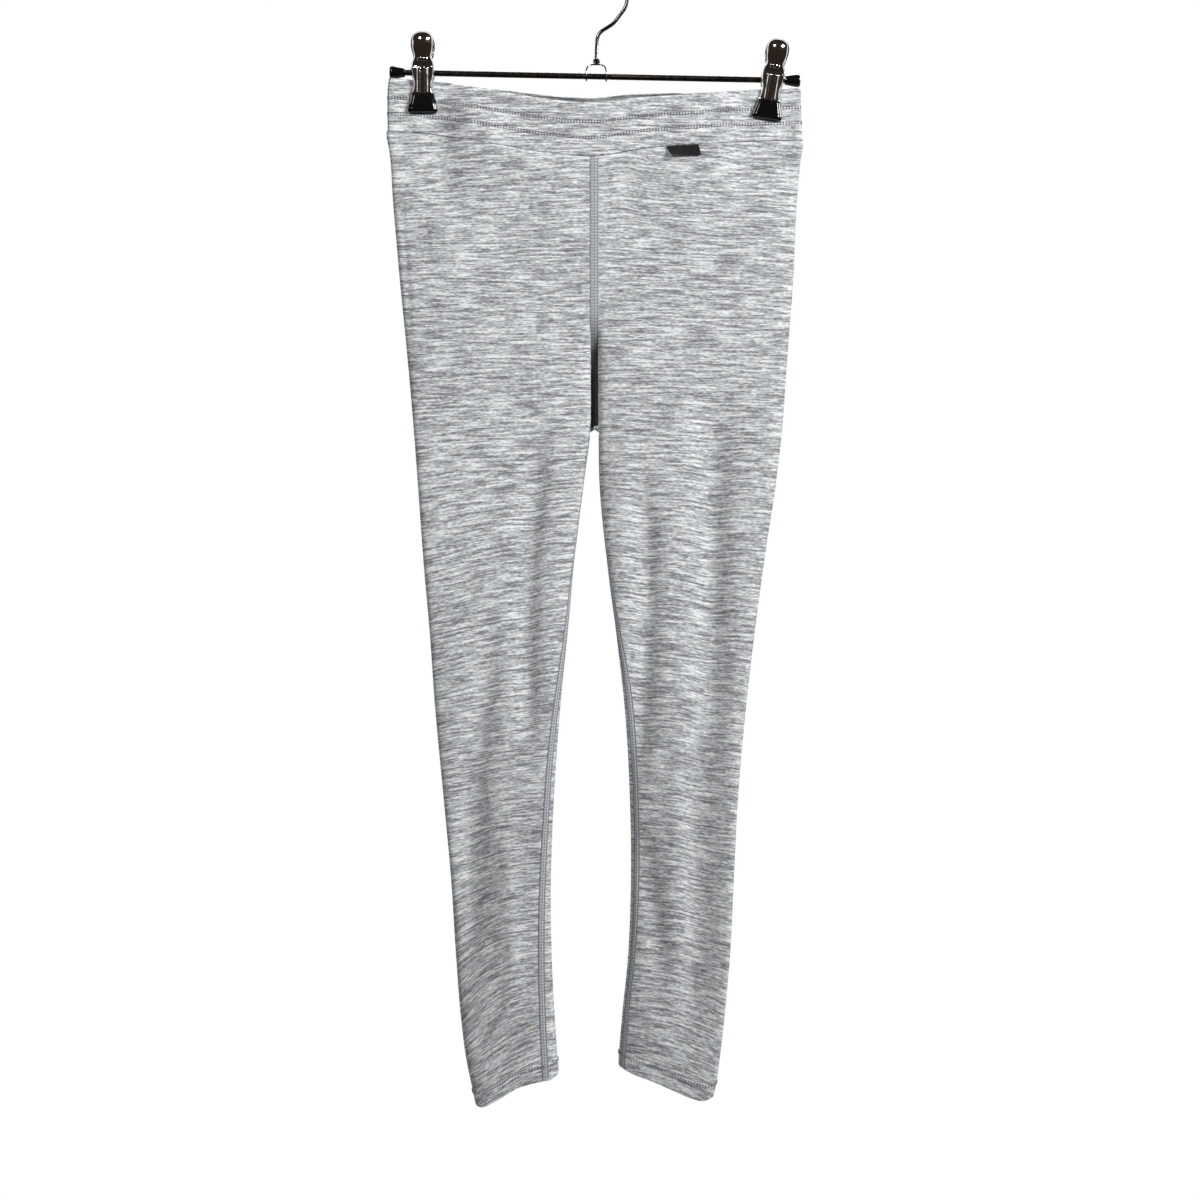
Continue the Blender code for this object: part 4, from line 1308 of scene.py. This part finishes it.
def hem_stitches(name, leg, material):
    """Twin needle row that holds the turned hem."""
    rows = []
    for above in (HEM_STITCH_ABOVE, HEM_STITCH_ABOVE + TWIN_NEEDLE):
        share = 1 - (HEM_HEIGHT - above) / leg.length
        shares = np.array((share - 0.002, share, share + 0.002))
        grid = leg.rings(shares, 160, 150)[..., :3]
        normal = leg_normals(leg, shares, grid)[1]
        rows.append((grid[1] + normal * 0.3, normal))
    return dress(stitches(name, rows), material, "grey_knit")


def rise_band(name, right, left, face, material):
    """Flatlock over the rise seam, from the waist seam down to the crotch."""
    across = np.linspace(-FLATLOCK_HALF, FLATLOCK_HALF, 15)
    rows = []
    for share in np.linspace(0.0015, right.crotch * 0.985, 150):
        low = right.rise_row(share, face, np.abs(across[across < 0]))
        high = left.rise_row(share, face, across[across >= 0])
        rows.append(np.concatenate([low, high]))
    points = np.array(rows)[..., :3]
    normal = grid_normals(points, wrap=False)
    normal *= np.where(normal[:, 7:8, 1:2] * face > 0, 1.0, -1.0)
    ridge = RISE_RIDGE * np.cos(across / FLATLOCK_HALF * 2.5 * math.pi)[None, :, None]
    return flatlock(name, points, across, normal, ridge, material)


def inseam_band(name, leg, material):
    """Flatlock down the inside of a leg, from the crotch to the hem."""
    shares = np.linspace(leg.crotch + 0.004, 0.9985, 260)
    across = np.linspace(-INSEAM_HALF, INSEAM_HALF, 13)
    points = np.array([leg.inseam_row(share, across) for share in shares])[..., :3]
    normal = grid_normals(points, wrap=False)
    centre = np.array([leg.ring(s, 8, 8)[:, :3].mean(axis=0) for s in shares[::20]])
    centre = read_line(centre, shares[::20], shares)
    outward = np.sum(normal[:, 6] * (points.mean(axis=1) - centre), axis=-1)
    normal *= np.where(outward > 0, 1.0, -1.0)[:, None, None]
    ridge = INSEAM_RIDGE * np.cos(across / INSEAM_HALF * 2 * math.pi)[None, :, None]
    ridge = ridge + HEM_RAISE * leg.hem_raise(shares)[:, None, None]
    return flatlock(name, points, across, normal, ridge, material)


def label(leg, material):
    """Folded tab sewn into the waist seam; it hangs over the panel, bare."""
    rows, cols = 16, 22
    down = (np.arange(rows) / (rows - 1))[:, None]
    s = np.linspace(0, 1, cols)
    top_x = LABEL_TOP_X[0] + (LABEL_TOP_X[1] - LABEL_TOP_X[0]) * s
    low_x = LABEL_BOTTOM_X[0] + (LABEL_BOTTOM_X[1] - LABEL_BOTTOM_X[0]) * s
    x = top_x + (low_x - top_x) * down
    top = column(WAIST_SEAM, 1, top_x) + LABEL_TOP_UNDER
    drop = top + (LABEL_BOTTOM_DROP - top) * down
    depth = open_depth(-1, x, column(leg.edges, 1, drop), drop)
    curl = LABEL_CURL[1] + (LABEL_CURL[0] - LABEL_CURL[1]) * (1 - s) ** 2
    lift = LABEL_LIFT + LABEL_THICK + curl * down**2 + 0.25 * np.cos(s * 5.0)
    points = np.stack([x, -depth - lift, -drop], axis=-1)
    normal = np.broadcast_to(np.array((0.0, -1.0, 0.0)), points.shape)
    made = cloth_wall("label_tape", points, normal, LABEL_THICK, np.stack([x, drop], axis=-1))
    return dress(made, material, "label_tape", "label")


# Hanger pieces


def rod_drop(x):
    return ROD_DROP + ROD_TILT * x


def rod_frame(x):
    """Frame on the rod's axis at x, with X along the rod."""
    spot = Matrix.Translation(Vector((x, 0.0, -rod_drop(x))) * MM)
    return spot @ Matrix.Rotation(math.atan(ROD_TILT), 4, "Y")


def rod(chrome):
    half = (ROD_ENDS[1] - ROD_ENDS[0]) / 2
    middle = (ROD_ENDS[1] + ROD_ENDS[0]) / 2
    profile = [(-half, 0.3), (-half, 2.0), (-half + 0.5, ROD_RADIUS)]
    for at in (BAIL_X[0] - 3.2, BAIL_X[1] + 3.2):
        spot = at - middle
        profile += [(spot - 1.0, ROD_RADIUS), (spot - 0.5, CRIMP_RADIUS)]
        profile += [(spot + 0.5, CRIMP_RADIUS), (spot + 1.0, ROD_RADIUS)]
    profile += [(half - 0.5, ROD_RADIUS), (half, 2.0), (half, 0.3)]
    made = turned("rod_bar", profile, 28, rod_frame(middle))
    sharpen(made)
    return dress(made, chrome, "polished_metal", "rod")


def sharpen(made, angle=35.0):
    made.data.set_sharp_from_angle(angle=math.radians(angle))


def caps(rubber):
    """Rubber end caps, flared to the outside."""
    profile = [(1.3, CAP_BORE), (1.3, 3.6), (1.0, 4.7), (0.3, 5.25), (-1.2, 5.4), (-3.2, 5.25)]
    profile += [(-5.6, 4.85), (-8.0, 4.4), (-10.2, 4.0), (-11.6, 3.7), (-12.1, 3.4), (-12.2, CAP_BORE)]
    for name, end, flip in (("cap_right", 0, -1), ("cap_left", 1, 1)):
        turned_profile = [(x * flip, r) for x, r in profile]
        place = rod_frame(ROD_ENDS[end] - flip * 0.4)
        made = turned(name + "_rubber", turned_profile, 28, place, closed=True)
        dress(made, rubber, "black_rubber", name)


def hook(chrome):
    stem = [
        (-2.9, 0.0, -78.7),
        (-2.9, 0.0, -70.0),
        (-2.6, 0.0, -62.0),
        (-1.8, 0.0, -55.6),
        (1.4, 0.0, -51.4),
        (6.6, 0.0, -48.0),
        (11.6, 0.0, -44.4),
    ]
    arc = []
    for k in range(13):
        turn = math.radians(HOOK_START + k * HOOK_SWEEP / 12)
        x = HOOK_RADIUS * math.cos(turn)
        arc.append((x, 0.0, -HOOK_CENTRE_DROP + HOOK_RADIUS * math.sin(turn)))
    path = smooth_path(stem + arc, 200)
    radii = np.full(len(path), WIRE_RADIUS)
    ball_steps = 12
    ball = np.linspace(0, math.pi, ball_steps)
    radii[-ball_steps:] = np.maximum(2.35 * np.sin(ball), np.linspace(WIRE_RADIUS, 0.2, ball_steps))
    return dress(tube("hook_wire", path, radii, 20), chrome, "polished_metal", "hook")


def bail(chrome):
    """Thin wire that hangs the rod from the swivel."""
    reach = ROD_RADIUS + BAIL_WIRE + 0.3
    legs = []
    for x in BAIL_X:
        axis = -rod_drop(x)
        legs.append([
            (x, reach, axis + 1.5),
            (x, reach * 0.75, axis - reach * 0.75),
            (x, 0.0, axis - reach),
            (x, -reach * 0.8, axis - reach * 0.7),
            (x, -reach, axis + 0.5),
            (x, -reach * 0.9, axis + 4.5),
        ])
    crown = [
        (BAIL_X[0] + 1.4, -1.5, -BAIL_TOP_DROP - 1.6),
        (BAIL_X[0] + 5.0, 0.0, -BAIL_TOP_DROP + 0.2),
        (SWIVEL_X, 0.0, -BAIL_TOP_DROP + 0.3),
        (BAIL_X[1] - 5.0, 0.0, -BAIL_TOP_DROP + 0.2),
        (BAIL_X[1] - 1.4, -1.5, -BAIL_TOP_DROP - 1.6),
    ]
    path, radii = rounded_ends(smooth_path(legs[0] + crown + legs[1][::-1], 160), BAIL_WIRE)
    return dress(tube("bail_wire", path, radii, 12), chrome, "polished_metal", "bail")


def swivel(chrome):
    """Collar that the hook turns in, with a groove round its middle."""
    upright = Matrix.Translation(Vector((SWIVEL_X, 0.0, -BAIL_TOP_DROP + 1.4)) * MM)
    upright = upright @ Matrix.Rotation(-math.pi / 2, 4, "Y")
    bore = WIRE_RADIUS + 0.25
    profile = [(0.0, bore), (0.0, 2.3), (0.3, 2.8), (0.8, 3.1), (1.3, 3.0), (1.8, 2.65), (2.2, 2.95)]
    profile += [(2.7, 3.1), (3.1, 2.85), (3.5, 2.3), (3.5, bore)]
    made = turned("swivel_collar", profile, 28, upright, closed=True)
    sharpen(made)
    return dress(made, chrome, "polished_metal", "swivel")


def spring(word, x, chrome):
    """Wound wire round the rod between the two plates of a clip."""
    place = rod_frame(x)
    path = []
    for k in range(SPRING_TURNS * 16 + 1):
        share = k / (SPRING_TURNS * 16)
        turn = share * SPRING_TURNS * 2 * math.pi
        along = -SPRING_HALF + 2 * SPRING_HALF * share
        spot = Vector((along, SPRING_RADIUS * math.cos(turn), SPRING_RADIUS * math.sin(turn)))
        path.append(place @ (spot * MM) / MM)
    path, radii = rounded_ends(path, SPRING_WIRE)
    made = tube("clip_spring_" + word + "_coil", path, radii, 8)
    return dress(made, chrome, "polished_metal", "clip_spring_" + word)


def clip_grid(table, rows, cols):
    """Heights and shares across over a part of a clip, finer at its edges."""
    turn = np.linspace(0, math.pi, rows)
    heights = table[0][0] + (table[-1][0] - table[0][0]) * (1 - np.cos(turn)) / 2
    across = np.sin(np.linspace(-1, 1, cols) * math.pi / 2)
    return np.meshgrid(heights, across, indexing="ij")


def plate_outline():
    """Outline of a clip plate seen from the front, down one side and up the other."""
    table = tuple(sorted(PLATE_ROWS))
    height = np.linspace(table[0][0], table[-1][0], 120)
    half = column(table, 1, height)
    over = np.linspace(-1, 1, 15)[1:-1] * half[-1]
    sides = [np.stack([half, height], axis=-1), np.stack([-half, height], axis=-1)]
    return np.concatenate(sides + [np.stack([over, np.full(13, height[-1])], axis=-1)])


def plate_surface(height, across):
    """Half width and outward reach of a clip plate at heights and shares across."""
    table = tuple(sorted(PLATE_ROWS))
    x = across * column(table, 1, height)
    y = column(table, 2, height) + column(table, 3, height) * (1 - across**2)
    jaw = ease(height, RIB_BOTTOM, RIB_BOTTOM + 1.0) * (1 - ease(height, RIB_TOP - 0.8, RIB_TOP))
    for centre in RIB_X:
        rise = 1 - ease(np.abs(x - centre), RIB_HALF * 0.3, RIB_HALF)
        y = y + RIB_HEIGHT * rise * jaw
    ledge = ease(height, LEDGE_LOW - 0.5, LEDGE_LOW + 0.3)
    ledge = ledge * (1 - ease(height, LEDGE_HIGH - 0.3, LEDGE_HIGH + 0.9))
    y = y - LEDGE_DEPTH * ledge * (1 - ease(np.abs(across), 0.7, 0.85))
    teeth = ease(height, TEETH_LOW, TEETH_LOW + 0.4) * (1 - ease(height, TEETH_HIGH - 0.4, TEETH_HIGH))
    teeth = teeth * (1 - ease(np.abs(x), TEETH_HALF - 0.6, TEETH_HALF))
    y = y + TEETH_RISE * np.abs(np.sin(x * math.pi / TEETH_PITCH)) * teeth
    spot = np.stack([x, height], axis=-1)[..., None, :]
    inside = np.linalg.norm(spot - plate_outline(), axis=-1).min(axis=-1)
    rolled = np.clip(1 - inside / RIM_WIDTH, 0, 1) ** 1.5
    return x, y - RIM_DROP * rolled * ease(height, RIB_BOTTOM, RIB_BOTTOM + 2.0)


def plate(name, lean, face, chrome):
    """Pressed clip plate: domed knob, waisted neck and ribbed jaw."""
    height, across = clip_grid(PLATE_ROWS, 150, 81)
    x, y = plate_surface(height, across)
    outer = np.stack([x, face * (y + PLATE_THICK), height], axis=-1)
    normal = np.broadcast_to(np.array((0.0, float(face), 0.0)), outer.shape)
    weave = np.stack([x, height], axis=-1)
    made = cloth_wall(name + "_pressed", outer, normal, PLATE_THICK, weave)
    made.data.transform(lean)
    sharpen(made, 50.0)
    return dress(made, chrome, "polished_metal", name)


def pad(name, lean, face, rubber):
    """Rubber shoe on the jaw, rounded at its corners and bevelled at its sides."""
    height, across = clip_grid(PAD_ROWS, 40, 41)
    table = PAD_ROWS[::-1]
    low, high = table[0][0], table[-1][0]
    side = np.abs(across)
    into = np.clip((low + PAD_CORNER - height) / PAD_CORNER, 0, 1)
    rounded = PAD_HALF - PAD_CORNER + PAD_CORNER * np.sqrt(1 - into**2)
    x = across * np.minimum(column(table, 1, height), rounded)
    edge = (1 - ease(side, 0.72, 0.93) * 0.38) * (1 - 0.3 * ease(side, 0.95, 1.0))
    end = 0.45 + 0.55 * ease(height, low, low + 2.2)
    top = 0.7 + 0.3 * (1 - ease(height, high - 1.0, high))
    far = PAD_INNER + column(table, 2, height) * edge * end * top
    near = PAD_INNER + 0.35 * ease(side, 0.85, 1.0)
    outer = np.stack([x, face * far, height], axis=-1)
    made = pad_wall(name + "_rubber", outer, face, far - near, np.stack([x, height], axis=-1))
    made.data.transform(lean)
    return dress(made, rubber, "black_rubber", name)


def pad_wall(name, outer, face, depth, weave):
    rows, cols = outer.shape[:2]
    inner = outer - np.stack([np.zeros_like(depth), face * depth, np.zeros_like(depth)], axis=-1)
    points = np.concatenate([outer.reshape(-1, 3), inner.reshape(-1, 3)])
    count = rows * cols
    faces = grid_faces(rows, cols, False, False)
    faces += [f[::-1] for f in grid_faces(rows, cols, False, False, count)]
    rim = [(0, j) for j in range(cols)] + [(i, cols - 1) for i in range(1, rows)]
    rim += [(rows - 1, j) for j in range(cols - 2, -1, -1)] + [(i, 0) for i in range(rows - 2, 0, -1)]
    numbers = [i * cols + j for i, j in rim]
    for first, second in zip(numbers, numbers[1:] + numbers[:1]):
        faces.append([first, second, second + count, first + count])
    knit = np.concatenate([weave.reshape(-1, 2), weave.reshape(-1, 2)])
    return closed_body(name, points, faces, knit)


def clips(chrome, rubber):
    for side, word in enumerate(("right", "left")):
        x = CLIP_ORIGIN_X[side]
        spot = Matrix.Translation(Vector((x, 0.0, -rod_drop(x))) * MM)
        lean = spot @ Matrix.Rotation(CLIP_TILT[side], 4, "Y")
        spring(word, x, chrome)
        for face, end in ((-1, "front"), (1, "back")):
            plate(f"clip_plate_{word}_{end}", lean, face, chrome)
            pad(f"clip_pad_{word}_{end}", lean, face, rubber)


# Stage, light and camera


def floor():
    """Plain pale floor, two metres under the hang point."""
    radii = [0.02] + [FLOOR_RADIUS * k / 8 for k in range(1, 9)]
    turn = np.linspace(0, 2 * math.pi, 72, endpoint=False)
    points = [(r * math.cos(a) / MM, r * math.sin(a) / MM, -FLOOR_DROP / MM) for r in radii for a in turn]
    faces = grid_faces(len(radii), len(turn), False, True)
    faces.append(list(range(len(turn)))[::-1])
    made = make_object("floor", points, faces)
    look = Look("floor_paint", (0.90, 0.90, 0.90), 0.9)
    look.shade(look.object_noise(9.0, 2.0), (0.88, 0.88, 0.88), (0.92, 0.92, 0.92))
    look.set("Emission Color", (1.0, 1.0, 1.0, 1.0))
    look.set("Emission Strength", FLOOR_GLOW)
    made.data.materials.append(look.material)
    made.visible_glossy = False


def lights():
    for name, place, target, size, power, spread in LAMPS:
        data = bpy.data.lights.new(name, "AREA")
        data.shape = "RECTANGLE"
        data.size, data.size_y = size
        data.energy = power
        data.spread = math.radians(spread)
        made = bpy.data.objects.new(name, data)
        made.location = place
        made.rotation_mode = "QUATERNION"
        made.rotation_quaternion = (Vector(target) - Vector(place)).to_track_quat("-Z", "Y")
        bpy.context.collection.objects.link(made)


def surroundings():
    """Room that is pale beside and behind the object and dark in front; plain white in the picture."""
    world = bpy.data.worlds.new("studio")
    world.use_nodes = True
    tree = NodeTree(world.node_tree)
    split = tree.add("ShaderNodeSeparateXYZ")
    tree.links.new(tree.add("ShaderNodeTexCoord").outputs["Generated"], split.inputs[0])
    back = tree.math("MULTIPLY_ADD", split.outputs[1], 0.5, 0.5)
    level = tree.math("MULTIPLY_ADD", tree.math("ABSOLUTE", split.outputs[2]), MIRROR_DIM, back)
    path = tree.add("ShaderNodeLightPath")
    seen = tree.ramp(back, SOFT_ROOM)
    for rays, place, stops in (("Glossy", level, MIRROR_ROOM), ("Camera", back, PICTURE_ROOM)):
        seen = tree.mix(path.outputs[f"Is {rays} Ray"], seen, tree.ramp(place, stops))
    tree.links.new(seen, tree.nodes["Background"].inputs["Color"])
    bpy.context.scene.world = world


def camera():
    data = bpy.data.cameras.new("camera")
    data.sensor_width = SENSOR
    data.lens = SENSOR * VIEW_DISTANCE / VIEW_WIDTH
    made = bpy.data.objects.new("camera", data)
    made.location = (0.0, -VIEW_DISTANCE, -VIEW_CENTRE_DROP)
    made.rotation_euler = (math.pi / 2, 0.0, 0.0)
    bpy.context.collection.objects.link(made)
    bpy.context.scene.camera = made


right_leg = Leg(-1, RIGHT_LEG_EDGES, RIGHT_HEM, 1)
left_leg = Leg(1, LEFT_LEG_EDGES, LEFT_HEM, 2)

flat_thread = flatlock_look("flatlock_thread", EDGE_SHADE_FROM)
# Front rise seam thread, with painted shade where it runs into the gap between the legs
shaded_rise_thread = flatlock_look("flatlock_painted_shade", EDGE_SHADE_FROM, PAINTED_SHADE_DROP)
inseam_thread = flatlock_look("inseam_thread", INSEAM_EDGE_SHADE_FROM)
# Stitch thread painted near black: painted shade of the needle holes and the seam's groove, on thread that
# is pale
painted_shade_thread = thread_look("painted_shade_thread", (0.10, 0.105, 0.118))
black_tape = tape_look()
bright = chrome_look("chrome_plate", 0.09, 1.0)
# Wire chrome painted at a fifth of the plate's brightness: painted dark reflection on the hook, bail and
# swivel
painted_dark_wire_chrome = chrome_look("painted_dark_wire_chrome", 0.14, 0.2)
# Rod chrome painted dark brown: painted reflection
painted_dark_chrome = painted_dark_chrome_look()
dull_rubber = rubber_look()

# Reverse side of the knit painted darker than its face: painted shade inside the garment
shaded_inside_knit = melange_look("melange_shaded_reverse", 83.0, REVERSE_SHADE_TONE)
# The band's knit is painted 5% lighter than the legs' knit: painted light
band = waistband(melange_look("melange_band_painted_light", 0.0, 1.05), shaded_inside_knit)
right_panel = leg_panel("leg_right_knit", right_leg, melange_look("melange_right", 23.0), shaded_inside_knit)
left_panel = leg_panel("leg_left_knit", left_leg, melange_look("melange_left", 57.0), shaded_inside_knit)
tab = label(left_leg, black_tape)

band_stitches(painted_shade_thread)
seam_thread(painted_shade_thread)
hem_stitches("leg_right_hem_stitches", right_leg, painted_shade_thread)
hem_stitches("leg_left_hem_stitches", left_leg, painted_shade_thread)
rise_band("rise_seam_front", right_leg, left_leg, -1, shaded_rise_thread)
rise_band("rise_seam_back", right_leg, left_leg, 1, flat_thread)
inseam_band("leg_right_inseam", right_leg, inseam_thread)
inseam_band("leg_left_inseam", left_leg, inseam_thread)

rod(painted_dark_chrome)
caps(dull_rubber)
hook(painted_dark_wire_chrome)
bail(painted_dark_wire_chrome)
swivel(painted_dark_wire_chrome)
clips(bright, dull_rubber)

floor()
lights()
surroundings()
camera()
bpy.context.scene.view_settings.view_transform = "Standard"
